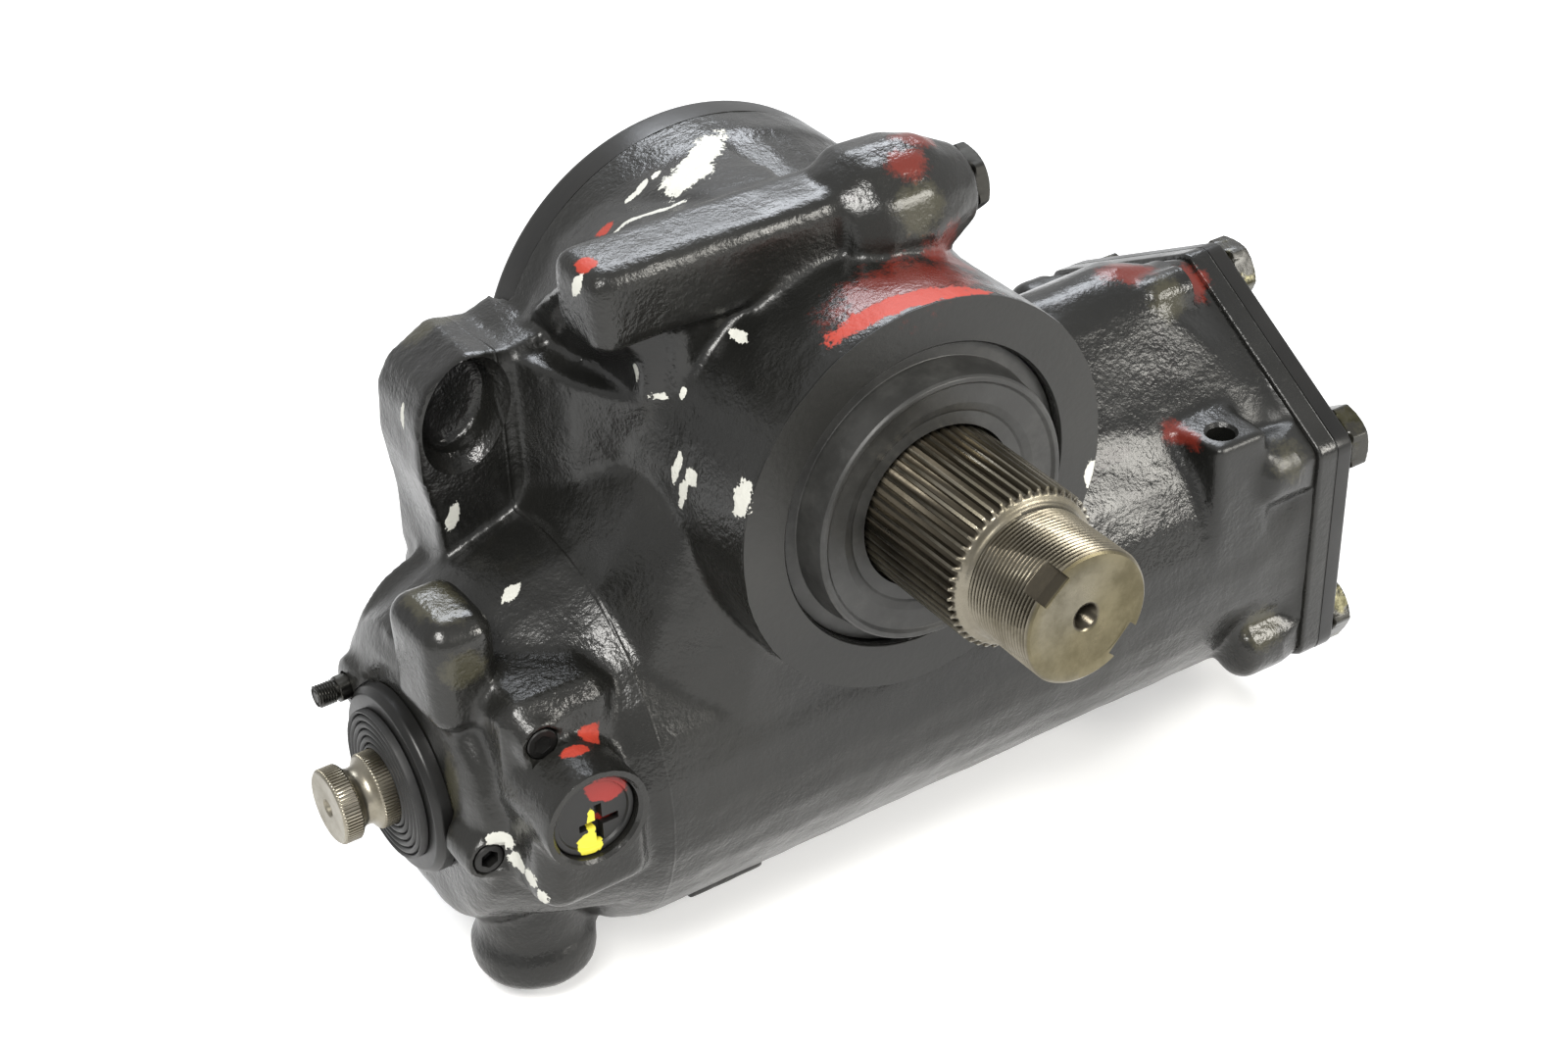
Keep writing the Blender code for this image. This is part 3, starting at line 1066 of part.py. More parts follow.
def make_housing():
    """Casting that carries everything: barrel, sector housing, lugs and bosses."""
    edge = 0.0015
    barrel = turned("gear_housing", [
        (VALVE_FACE_X, 0), (VALVE_FACE_X, 0.0440), (-0.1455, 0.0520), (-0.1300, 0.0600),
        (-0.1100, 0.0680), (-0.0950, 0.0725), (-0.0920, CYLINDER_R), (0.1700, CYLINDER_R), (0.1700, 0),
    ], steps=BORE_STEPS)
    neck = loft("neck", [neck_ring(x) for x in NECK_STATIONS])
    flange = loft("end_flange", [
        hexagon_ring(FLANGE_X - FLANGE_T, HEX_APOTHEM - 0.002, HEX_CORNER_R - 0.002),
        hexagon_ring(FLANGE_X - FLANGE_T + 0.002, HEX_APOTHEM, HEX_CORNER_R),
        hexagon_ring(FLANGE_X, HEX_APOTHEM, HEX_CORNER_R),
    ])
    drum = turned("drum", [
        (BOSS_FACE_Y, 0), (BOSS_FACE_Y, BOSS_R - edge), (BOSS_FACE_Y + edge, BOSS_R),
        (-0.040, BOSS_R), (-0.010, BOSS_R + 0.004), (0.020, DRUM_R - 0.002),
        (0.034, DRUM_R), (DRUM_FACE_Y + 0.002, DRUM_R), (DRUM_FACE_Y + 0.002, 0),
    ], "Y", SECTOR_CENTRE, BORE_STEPS)
    saddle = loft("saddle", [saddle_ring(y, left) for y, left in SADDLE_STATIONS])
    stock = [neck, flange, drum, saddle]
    for number, (y, z) in enumerate(corner_places()):
        start = FLANGE_BOSS_STARTS[number]
        stock.append(turned(f"flange_boss_{number}", [
            (start, 0), (start, 0.0055), (start + 0.003, 0.0095), (start + 0.008, FLANGE_BOSS_R),
            (FLANGE_X - 0.001, FLANGE_BOSS_R), (FLANGE_X - 0.001, 0),
        ], centre=(0, y, z), steps=12))
    lug = loft("left_lug", [[(x, y, z) for x, z in outline]
                            for y, outline in ((LUG_FRONT_Y, LUG_FRONT), (LUG_REAR_Y, LUG_REAR))])
    stock.append(lug)
    half = RAIL_SIZE / 2
    rail = box("top_rail", (RAIL_START_X, RAIL_Y - half, RAIL_Z - half),
               (PLUG_BOSS_START_X + 0.006, RAIL_Y + half, RAIL_Z + half), 0.005)
    web = box("rail_web", (RAIL_START_X + 0.030, RAIL_Y - half + 0.005, 0.090),
              (PLUG_BOSS_START_X + 0.004, RAIL_Y + half - 0.002, RAIL_Z), 0.003, 1)
    plug_boss = turned("plug_boss", [
        (PLUG_BOSS_START_X, 0), (PLUG_BOSS_START_X, PLUG_BOSS_R - 0.005), (0.010, PLUG_BOSS_R),
        (0.028, PLUG_BOSS_R), (0.040, PLUG_BOSS_R - 0.0045), (PLUG_BOSS_END_X, PLUG_BOSS_R - 0.010),
        (PLUG_BOSS_END_X, 0),
    ], centre=(0, HEX_PLUG_Y, HEX_PLUG_Z), steps=12)
    plug_web = box("plug_boss_web", (PLUG_BOSS_START_X + 0.002, HEX_PLUG_Y - 0.014, 0.110),
                   (PLUG_BOSS_END_X - 0.010, HEX_PLUG_Y + 0.016, HEX_PLUG_Z - 0.004), 0.004, 1)
    shoulder = loft("shoulder", [[(x, y, z) for x, z in outline] for y, outline in SHOULDER_STATIONS])
    stock += [rail, web, plug_boss, plug_web, shoulder]
    bracket = plate("bracket", [BRACKET], BRACKET_BASE_Z, BRACKET_TOP_Z, "Z")
    step = plate("bracket_step", [BRACKET_STEP], BRACKET_BASE_Z, BRACKET_STEP_Z, "Z")
    stock += [bracket, step]
    port = rod("port_boss", PORT_FACE_Y, -0.020, PORT_BOSS_R, "Y", (PORT_X, 0, PORT_Z), 40)
    port_block = box("port_block", (-0.1390, -0.0760, -0.0170), (-0.0980, -0.0100, 0.0200), 0.006, 1)
    port_top = box("port_top", (-0.1390, -0.0610, 0.0100), (-0.0990, -0.0100, PORT_TOP_Z), 0.006, 1)
    valve_top = plate("valve_top", [VALVE_TOP], -0.0100, 0.0400, "Y")
    valve_block = box("valve_block", (-0.1530, -0.0420, 0.0400), (-0.1290, -0.0080, VALVE_BLOCK_TOP_Z),
                      0.005, 1)
    bleed_boss = rod("bleed_boss", BLEED_FACE_X, -0.110, 0.0105, centre=(0, BLEED_Y, BLEED_Z), steps=24)
    return_stub = turned("return_stub", [
        (RETURN_FACE_Z, 0), (RETURN_FACE_Z, 0.0165), (-0.0690, 0.0165), (-0.0620, 0.0210),
        (-0.0450, 0.0210), (-0.0300, 0.0165), (-0.0300, 0),
    ], "Z", (RETURN_X, RETURN_Y, 0), 32)
    wedge = plate("valve_foot", [[(-0.1450, -0.0450), (-0.1390, -0.0700), (-0.1050, -0.0700),
                                  (-0.0950, -0.0400), (-0.1400, -0.0300)]], -0.012, 0.012, "Y")
    stock += [port, port_block, port_top, valve_top, valve_block, bleed_boss, return_stub, wedge]
    pad = box("under_pad", (-0.063, -0.030, PAD_FACE_Z), (-0.031, 0.010, -0.050))
    stock.append(pad)
    for name, (x, z), face in SOCKET_PLUGS:
        stock.append(rod(f"{name}_boss", face, face + 0.030, SOCKET_PLUG_R + 0.0025, "Y", (x, 0, z), 24))
    join(barrel, *stock)
    cut(barrel, *housing_cuts())
    return finish(barrel, PAINT)


def housing_cuts():
    """Bores, ports and bolt holes."""
    cuts = []
    cuts.append(rod("cylinder_bore", BORE_START_X, FLANGE_X + 0.001, BORE_R, steps=BORE_STEPS))
    cuts.append(rod("wall_hole", VALVE_BORE_END_X - 0.001, BORE_START_X + 0.001, WALL_HOLE_R))
    cuts.append(rod("valve_bore", VALVE_FACE_X - 0.001, VALVE_BORE_END_X, VALVE_BORE_R))
    cuts.append(rod("cap_bore", VALVE_FACE_X - 0.008, CAP_END_X + GAP, CAP_THREAD_R + GAP))
    cuts.append(rod("cap_seat", VALVE_FACE_X - 0.008, VALVE_FACE_X, CAP_R + 0.0012, steps=BORE_STEPS))
    cuts.append(rod("bleed_seat", BLEED_FACE_X - 0.004, BLEED_FACE_X, BLEED_COLLAR_R + 0.0004,
                     centre=(0, BLEED_Y, BLEED_Z), steps=BAR_STEPS))
    cuts.append(plate("cover_seat", [flat_circle(DRUM_R + 0.0015, COVER_FLAT_Z)], DRUM_FACE_Y,
                      LUG_REAR_Y + 0.001, "Y", SECTOR_CENTRE))
    cuts.append(plate("sector_chamber", [flat_circle(CHAMBER_R, CHAMBER_FLAT_Z)], CHAMBER_FRONT_Y,
                      DRUM_FACE_Y + 0.001, "Y", SECTOR_CENTRE))
    cuts.append(rod("front_bearing_bore", SEAL_SEAT_Y + 0.003, CHAMBER_FRONT_Y + 0.001,
                     FRONT_BEARING_R, "Y", SECTOR_CENTRE))
    cuts.append(rod("shoulder_bore", SEAL_SEAT_Y - 0.001, SEAL_SEAT_Y + 0.004, 0.0360, "Y", SECTOR_CENTRE))
    cuts.append(rod("seal_bore", BOSS_FACE_Y - 0.001, SEAL_SEAT_Y, SEAL_BORE_R, "Y", SECTOR_CENTRE,
                     BORE_STEPS))
    clip_y = SEAL_SEAT_Y - GAP - 0.0100 - GAP
    cuts.append(rod("clip_groove", clip_y - CLIP_T - GAP, clip_y + GAP, SEAL_BORE_R + CLIP_GROOVE, "Y",
                     SECTOR_CENTRE, BORE_STEPS))
    seal_in, seal_out = COVER_SEAL_R - COVER_SEAL_WIDTH / 2, COVER_SEAL_R + COVER_SEAL_WIDTH / 2
    cuts.append(ring("cover_seal_groove", FLANGE_X - COVER_SEAL_WIDTH - GAP, FLANGE_X + 0.001, seal_in,
                      seal_out, steps=BORE_STEPS))
    for number, (y, z) in enumerate(corner_places()):
        cuts.append(rod(f"flange_bolt_hole_{number}", COVER_OUTER_X - COVER_BOLT_LENGTH - 0.002,
                         FLANGE_X + 0.001, COVER_BOLT_R + GAP, centre=(0, y, z), steps=BOLT_STEPS))
    for number, (x, z) in enumerate(side_bolt_places()):
        cuts.append(rod(f"drum_bolt_hole_{number}", DRUM_FACE_Y + SIDE_COVER_T - SIDE_BOLT_LENGTH - 0.002,
                         DRUM_FACE_Y + 0.001, SIDE_BOLT_R + GAP, "Y", (x, 0, z), BOLT_STEPS))
    cuts.append(rod("port_socket", PORT_FACE_Y - 0.001, PORT_FACE_Y + PORT_DEPTH, PORT_R, "Y",
                     (PORT_X, 0, PORT_Z)))
    cuts.append(rod("port_channel", PORT_FACE_Y + PORT_DEPTH - 0.001, -0.0200, 0.0040, "Y",
                     (PORT_X, 0, PORT_Z), BOLT_STEPS))
    cuts.append(rod("return_socket", RETURN_FACE_Z - 0.001, RETURN_FACE_Z + RETURN_DEPTH, RETURN_PORT_R,
                     "Z", (RETURN_X, RETURN_Y, 0)))
    cuts.append(rod("return_channel", RETURN_FACE_Z + RETURN_DEPTH - 0.001, -0.0150, 0.0040, "Z",
                     (RETURN_X, RETURN_Y, 0), BOLT_STEPS))
    cuts.append(rod("hex_plug_hole", PLUG_BOSS_END_X - HEX_PLUG_STEM - GAP, PLUG_BOSS_END_X + 0.001,
                     HEX_PLUG_R + GAP, centre=(0, HEX_PLUG_Y, HEX_PLUG_Z), steps=16))
    cuts.append(rod("bleed_hole", BLEED_FACE_X - 0.001, BLEED_FACE_X + BLEED_DEPTH + GAP, BLEED_R + GAP,
                     centre=(0, BLEED_Y, BLEED_Z), steps=24))
    for name, (x, z), face in SOCKET_PLUGS:
        cuts.append(rod(f"{name}_hole", face - 0.001, face + SOCKET_PLUG_DEPTH, SOCKET_PLUG_R, "Y",
                         (x, 0, z), 24))
    cuts.append(rod("bracket_hole", BRACKET_HOLE_END_Z, BRACKET_TOP_Z + 0.001, BRACKET_HOLE_R, "Z",
                     (BRACKET_HOLE_X, BRACKET_HOLE_Y, 0), BOLT_STEPS))
    oval = [(u * LUG_POCKET_SIZE[0], v * LUG_POCKET_SIZE[1]) for u, v in circle(1, 16)]
    turn, rise = math.cos(LUG_POCKET_TILT), math.sin(LUG_POCKET_TILT)
    left, up = LUG_POCKET_CENTRE
    tilted = [(left + u * turn - v * rise, up + u * rise + v * turn) for u, v in oval]
    pocket = plate("lug_pocket", [tilted], LUG_FRONT_Y - 0.002, LUG_FRONT_Y + LUG_POCKET_DEPTH, "Y")
    cuts.append(pocket)
    return cuts


make_sector_shaft()
make_front_end()
make_side_cover()
make_piston()
make_ball_train()
make_worm()
make_valve()
make_input_shaft()
make_input_end()
make_end_cover()
make_plugs()
make_housing()
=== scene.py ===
"""Looks of the steering gearbox: casting, shafts, boot, bolts, plugs and paint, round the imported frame."""
import json
import math

import bmesh
import bpy
from mathutils import Matrix, Vector


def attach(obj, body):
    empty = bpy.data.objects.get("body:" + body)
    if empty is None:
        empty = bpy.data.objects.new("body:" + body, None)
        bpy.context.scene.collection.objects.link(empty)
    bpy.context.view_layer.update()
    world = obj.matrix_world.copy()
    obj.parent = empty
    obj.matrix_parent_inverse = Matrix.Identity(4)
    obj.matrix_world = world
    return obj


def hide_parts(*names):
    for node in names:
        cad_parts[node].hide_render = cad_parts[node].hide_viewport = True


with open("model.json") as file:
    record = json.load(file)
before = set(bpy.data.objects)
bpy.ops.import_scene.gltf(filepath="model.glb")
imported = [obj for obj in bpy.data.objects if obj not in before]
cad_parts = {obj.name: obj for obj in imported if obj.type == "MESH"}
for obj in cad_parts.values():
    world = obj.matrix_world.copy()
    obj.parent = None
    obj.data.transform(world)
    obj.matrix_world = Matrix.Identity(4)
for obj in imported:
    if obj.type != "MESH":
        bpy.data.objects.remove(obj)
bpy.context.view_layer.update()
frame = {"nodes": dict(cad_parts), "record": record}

MM = 0.001
# The mechanism's own origin: on the cylinder axis, under the sector shaft
ORIGIN = Vector((-0.0116, 0.0341, 0.088446))
RECORD = frame["record"]
SLOT = {part["node"]: part["material_slot"] for part in RECORD["subparts"]}
BODY = {node: body for body, nodes in RECORD["behaviour"]["bodies"].items() for node in nodes}

# Sizes of the CAD, in millimetres: radii, faces along an axis, and places in the two directions across it
SECTOR_Z = 98
SECTOR = (0, SECTOR_Z)
CYLINDER_R = 60
BOSS_R = 68.3
BOSS_FACE_Y = -88.4
SEAL_BORE_R = 52.5
CHAMBER_R = 58.05
CHAMBER_FLAT_Z = 52.54
DRUM_R = 78.05
DRUM_FACE_Y = 46
COVER_FLAT_Z = 46.04
SIDE_BOLT_CIRCLE_R = 66.25
SIDE_BOLT_HOLE_R = 4.3
FLANGE_X = 184.5
HEX_APOTHEM = 77.5
HEX_CORNER_R = 88.5
HEX_PHASE = math.radians(92)
CORNER_BOLT_CIRCLE_R = 75.5
CORNER_BOLT_HOLE_R = 7.3
PORT = (-122, 23)
PORT_FACE_Y = -83
RETURN = (-119, -20)
RETURN_FACE_Z = -77
UPPER_SOCKET = (-128.5, 43)
UPPER_SOCKET_FACE_Y = -63
LOWER_SOCKET = (-146, -2)
LOWER_SOCKET_FACE_Y = -52
BLEED = (34.5, 17.5)
HEX_PLUG = (-35, 170.5)
BRACKET_HOLE = (142.5, -64)
BRACKET_FACE_Z = 56
SPLINES = 48
SPLINE_R = 27.2
SPLINE_ROOT_R = 25.5
THREAD_R = 22.5
SHAFT_END_Y = -169.2
SERRATIONS = 66
INPUT_R = 13.1
INPUT_END_X = -177.7

# Sizes of the look alone, in millimetres: the flange's front edge, the hollow neck and the lug's oval pocket
FLANGE_FRONT_X = 176.4
NECK_R = 74.3
NECK_START_X = 84
NECK_CREST_WIDTH = math.radians(19)
POCKET = (-103.5, 112.5)
POCKET_HALF_SIZES = (15.0, 20.5)
POCKET_TILT = math.radians(-22)
# Shares of a tooth's pitch: where its tip ends, where the valley starts and ends, and how wide a flank is
TIP_END, VALLEY_START, VALLEY_END, FLANK = 0.28, 0.40, 0.88, 0.12
# Rings of points on each turn of a thread
THREAD_STATIONS = 6

# Skin of the casting, in metres
SKIN_VOXEL = 0.0016
SKIN_SMOOTHINGS = 12
WAVE_LENGTH = 0.016
WAVE_HEIGHT = 0.0008

# Camera of the photo in the mechanism's directions, its place in millimetres
CAMERA_RIGHT = Vector((0.8352, -0.5486, -0.0389))
CAMERA_DOWN = Vector((-0.331, -0.4449, -0.8322))
CAMERA_FORWARD = Vector((0.4392, 0.7078, -0.5532))
CAMERA_PLACE = Vector((-443.4, -717.8, 601.1))
CAMERA_LENS = 67.5
CAMERA_SENSOR = 36
LAMP_AIM = Vector((0, 0, 0.12))
FLOOR_HALF = 6.0


# Mesh helpers, in millimetres of the mechanism's own frame

def new_object(name, vertices, faces):
    mesh = bpy.data.meshes.new(name)
    mesh.from_pydata([tuple(v) for v in vertices], [], faces)
    obj = bpy.data.objects.new(name, mesh)
    bpy.context.scene.collection.objects.link(obj)
    return obj


def clean(obj):
    """Weld the mesh and turn its faces outward."""
    bm = bmesh.new()
    bm.from_mesh(obj.data)
    bmesh.ops.remove_doubles(bm, verts=bm.verts, dist=1e-6)
    bmesh.ops.recalc_face_normals(bm, faces=bm.faces)
    bm.to_mesh(obj.data)
    bm.free()
    return obj


def located(axis, along, u, v):
    """A point along an axis, with (u, v) its place in the other two directions."""
    return Vector({"X": (along, u, v), "Y": (u, along, v), "Z": (u, v, along)}[axis]) * MM + ORIGIN


def point(axis, along, radius, angle, centre):
    """A point at an angle round the axis that runs through centre."""
    return located(axis, along, centre[0] + radius * math.cos(angle), centre[1] + radius * math.sin(angle))


def turned(name, stations, axis, centre=(0, 0), steps=96):
    """Skin stations of (along, radius) round an axis.

    A radius may be a function of the angle, and steps a list of angles. Stations that don't start and end
    on the axis close on themselves.
    """
    angles = steps if isinstance(steps, list) else [2 * math.pi * i / steps for i in range(steps)]
    count = len(angles)
    vertices, faces, index = [], [], []
    for along, radius in stations:
        if radius == 0:
            index.append([len(vertices)] * count)
            vertices.append(point(axis, along, 0, 0, centre))
        else:
            index.append(list(range(len(vertices), len(vertices) + count)))
            radii = [radius(a) for a in angles] if callable(radius) else [radius] * count
            vertices += [point(axis, along, r, a, centre) for r, a in zip(radii, angles)]
    pairs = list(zip(index, index[1:]))
    if stations[0][1] != 0:
        pairs.append((index[-1], index[0]))
    for low, high in pairs:
        for k in range(count):
            n = (k + 1) % count
            face = []
            for v in (low[k], low[n], high[n], high[k]):
                if v not in face:
                    face.append(v)
            if len(face) > 2:
                faces.append(tuple(face))
    return clean(new_object(name, vertices, faces))


def rounded(corners, steps=4):
    """Round the corners given as (along, radius, rounding)."""
    path = []
    for i, corner in enumerate(corners):
        here = Vector(corner[:2])
        if len(corner) < 3 or i in (0, len(corners) - 1):
            path.append(tuple(here))
            continue
        before, after = Vector(corners[i - 1][:2]) - here, Vector(corners[i + 1][:2]) - here
        reach = min(corner[2] / math.tan(before.angle(after) / 2), 0.48 * before.length, 0.48 * after.length)
        first, last = here + before.normalized() * reach, here + after.normalized() * reach
        for k in range(steps + 1):
            s = k / steps
            path.append(tuple(first * (1 - s) ** 2 + here * (2 * s * (1 - s)) + last * s ** 2))
    return path


def rod(axis, start, end, radius, centre=(0, 0), steps=96):
    return turned("tool", [(start, 0), (start, radius), (end, radius), (end, 0)], axis, centre, steps)


def prism(name, outline, axis, start, end):
    """Straight prism of an outline in (Y, Z), (X, Z) or (X, Y)."""
    count = len(outline)
    vertices = [located(axis, along, u, v) for along in (start, end) for u, v in outline]
    faces = [(k, (k + 1) % count, count + (k + 1) % count, count + k) for k in range(count)]
    faces += [tuple(range(count)), tuple(range(count, 2 * count))]
    return clean(new_object(name, vertices, faces))


def block(low, high):
    outline = [(low[0], low[1]), (high[0], low[1]), (high[0], high[1]), (low[0], high[1])]
    return prism("tool", outline, "Z", low[2], high[2])


def flat_circle(radius, flat_z, count=90):
    """Circle round the sector shaft, cut off flat at flat_z, as (X, Z)."""
    low = math.asin((flat_z - SECTOR_Z) / radius)
    angles = [low + (math.pi - 2 * low) * i / count for i in range(count + 1)]
    return [(radius * math.cos(a), SECTOR_Z + radius * math.sin(a)) for a in angles]


def hexagon(apothem, corner_r, phase):
    """Radius of a hexagon with rounded corners, as a function of the angle."""
    def radius(angle):
        local = (angle - phase) % math.radians(60) - math.radians(30)
        return min(apothem / math.cos(local), corner_r)
    return radius


def less(outline, limit):
    """The same outline, held below a limit as by a chamfer."""
    return lambda angle: min(outline(angle), limit)


def inset(outline, amount):
    """The same outline, nearer to its axis."""
    return lambda angle: outline(angle) - amount


def teeth(count, tip, root):
    """Radius of straight teeth, as a function of the angle."""
    def radius(angle):
        share = (angle * count / (2 * math.pi) + 1e-6) % 1
        rise = min(max((share - VALLEY_END) / FLANK, (VALLEY_START - share) / FLANK, 0), 1)
        return root + (tip - root) * rise
    return radius


def teeth_angles(count):
    """Angles that put a point on every corner of the teeth."""
    shares = (0, TIP_END, VALLEY_START, VALLEY_END)
    return [2 * math.pi * (tooth + share) / count for tooth in range(count) for share in shares]


def thread(start, end, radius, depth, pitch):
    """Stations of a helical thread."""
    stations = []
    count = math.ceil(abs(end - start) / pitch * THREAD_STATIONS)
    for i in range(count + 1):
        along = start + (end - start) * i / count

        def ridge(angle, along=along):
            phase = (along / pitch + angle / (2 * math.pi)) % 1
            return radius - depth * min(1, 1.35 * abs(2 * phase - 1))

        stations.append((along, ridge))
    return stations


def copy_of(node, name):
    """Free copy of a CAD piece, in the world's frame."""
    obj = frame["nodes"][node].copy()
    obj.data = frame["nodes"][node].data.copy()
    obj.name = name
    for key in list(obj.keys()):
        del obj[key]
    obj.parent = None
    obj.matrix_world = Matrix.Identity(4)
    bpy.context.scene.collection.objects.link(obj)
    return clean(obj)


def apply_all(obj):
    """Replace the mesh with the result of its modifiers."""
    bpy.context.view_layer.update()
    graph = bpy.context.evaluated_depsgraph_get()
    result = bpy.data.meshes.new_from_object(obj.evaluated_get(graph))
    obj.modifiers.clear()
    obj.data = result


def boolean(obj, others, operation="DIFFERENCE"):
    """Cut or join several bodies, then remove them."""
    for other in others:
        modifier = obj.modifiers.new("cut", "BOOLEAN")
        modifier.operation = operation
        modifier.solver = "MANIFOLD"
        modifier.object = other
    apply_all(obj)
    for other in others:
        bpy.data.objects.remove(other)


def one_mesh(objects):
    """Put several bodies into the first of them."""
    bm = bmesh.new()
    for obj in objects:
        bm.from_mesh(obj.data)
    bm.to_mesh(objects[0].data)
    bm.free()
    for obj in objects[1:]:
        bpy.data.objects.remove(obj)
    return objects[0]


def dress(obj, material, *nodes, angle=32):
    """Shade a piece, give it a material, put it on the body of the CAD nodes that it stands for and hide those
    nodes.
    """
    mesh = obj.data
    mesh.polygons.foreach_set("use_smooth", [True] * len(mesh.polygons))
    mesh.set_sharp_from_angle(angle=math.radians(angle))
    mesh.materials.clear()
    mesh.materials.append(material)
    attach(obj, BODY[nodes[0]])
    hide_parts(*nodes)


# Materials

class Graph:
    """Short way to build a node tree."""

    def __init__(self, name):
        self.material = bpy.data.materials.new(name)
        self.material.use_nodes = True
        self.tree = self.material.node_tree
        self.tree.nodes.clear()
        out = self.tree.nodes.new("ShaderNodeOutputMaterial")
        self.shader = self.tree.nodes.new("ShaderNodeBsdfPrincipled")
        self.tree.links.new(self.shader.outputs[0], out.inputs["Surface"])
        self.object = self.tree.nodes.new("ShaderNodeTexCoord").outputs["Object"]

    def put(self, socket, value):
        if isinstance(value, bpy.types.NodeSocket):
            self.tree.links.new(value, socket)
        elif isinstance(value, (tuple, list)) and len(value) == 3 and socket.type == "RGBA":
            socket.default_value = (*value, 1)
        else:
            socket.default_value = value

    def maths(self, operation, *values):
        node = self.tree.nodes.new("ShaderNodeMath")
        node.operation = operation
        for socket, value in zip(node.inputs, values):
            self.put(socket, value)
        return node.outputs[0]

    def total(self, *parts):
        """Sum of (value, weight) pairs."""
        result = None
        for value, weight in parts:
            term = self.maths("MULTIPLY", value, weight)
            result = self.maths("ADD", result, term) if result else term
        return result

    def vector(self, operation, *values):
        node = self.tree.nodes.new("ShaderNodeVectorMath")
        node.operation = operation
        for socket, value in zip(node.inputs, values):
            self.put(socket, value)
        return node.outputs["Value" if operation == "LENGTH" else "Vector"]

    def noise(self, scale, detail=3, roughness=0.5):
        node = self.tree.nodes.new("ShaderNodeTexNoise")
        node.inputs["Scale"].default_value = scale
        node.inputs["Detail"].default_value = detail
        node.inputs["Roughness"].default_value = roughness
        self.put(node.inputs["Vector"], self.object)
        return node.outputs["Fac"]

    def voronoi(self, scale):
        node = self.tree.nodes.new("ShaderNodeTexVoronoi")
        node.feature = "SMOOTH_F1"
        node.inputs["Scale"].default_value = scale
        self.put(node.inputs["Vector"], self.object)
        return node.outputs["Distance"]

    def ramp(self, value, low, high, first=0.0, last=1.0):
        """Smooth step from first to last as the value goes from low to high."""
        node = self.tree.nodes.new("ShaderNodeMapRange")
        node.interpolation_type = "SMOOTHSTEP"
        for key, number in (("From Min", low), ("From Max", high), ("To Min", first), ("To Max", last)):
            self.put(node.inputs[key], number)
        self.put(node.inputs["Value"], value)
        return node.outputs["Result"]

    def mix(self, share, first, second):
        """Blend of two colours."""
        node = self.tree.nodes.new("ShaderNodeMix")
        node.data_type = "RGBA"
        self.put(node.inputs["Factor"], share)
        self.put(node.inputs[6], first)
        self.put(node.inputs[7], second)
        return node.outputs[2]

    def blend(self, share, first, second):
        """Blend of two numbers."""
        node = self.tree.nodes.new("ShaderNodeMix")
        node.data_type = "FLOAT"
        self.put(node.inputs["Factor"], share)
        self.put(node.inputs[2], first)
        self.put(node.inputs[3], second)
        return node.outputs[0]

    def bump(self, height, strength, distance):
        node = self.tree.nodes.new("ShaderNodeBump")
        node.inputs["Strength"].default_value = strength
        node.inputs["Distance"].default_value = distance
        self.put(node.inputs["Height"], height)
        return node.outputs[0]

    def part(self, axis):
        """One coordinate of the object, in metres from the mechanism's origin."""
        node = self.tree.nodes.new("ShaderNodeSeparateXYZ")
        self.put(node.inputs[0], self.vector("SUBTRACT", self.object, tuple(ORIGIN)))
        return node.outputs[axis]

    def marks(self, places, edge, ragged=0.55):
        """Mask of ragged patches, given as (place, half sizes, turn in degrees) in millimetres."""
        result = None
        for place, size, turn in places:
            node = self.tree.nodes.new("ShaderNodeMapping")
            node.vector_type = "TEXTURE"
            node.inputs["Location"].default_value = Vector(place) * MM + ORIGIN
            node.inputs["Rotation"].default_value = [math.radians(t) for t in turn]
            node.inputs["Scale"].default_value = Vector(size) * MM
            self.put(node.inputs["Vector"], self.object)
            near = self.maths("SUBTRACT", 1.0, self.vector("LENGTH", node.outputs[0]))
            result = self.maths("MAXIMUM", result, near) if result else near
        torn = self.total((self.noise(190, 5, 0.7), ragged * 1.5), (self.noise(900, 2, 0.5), ragged * 0.5))
        level = self.maths("ADD", result, self.maths("SUBTRACT", torn, ragged))
        return self.ramp(level, 0.12 - edge, 0.12 + edge)

    def finish(self, **sockets):
        names = {"colour": "Base Color", "metal": "Metallic", "rough": "Roughness", "normal": "Normal",
                 "specular": "Specular IOR Level"}
        for key, value in sockets.items():
            self.put(self.shader.inputs[names[key]], value)
        return self.material
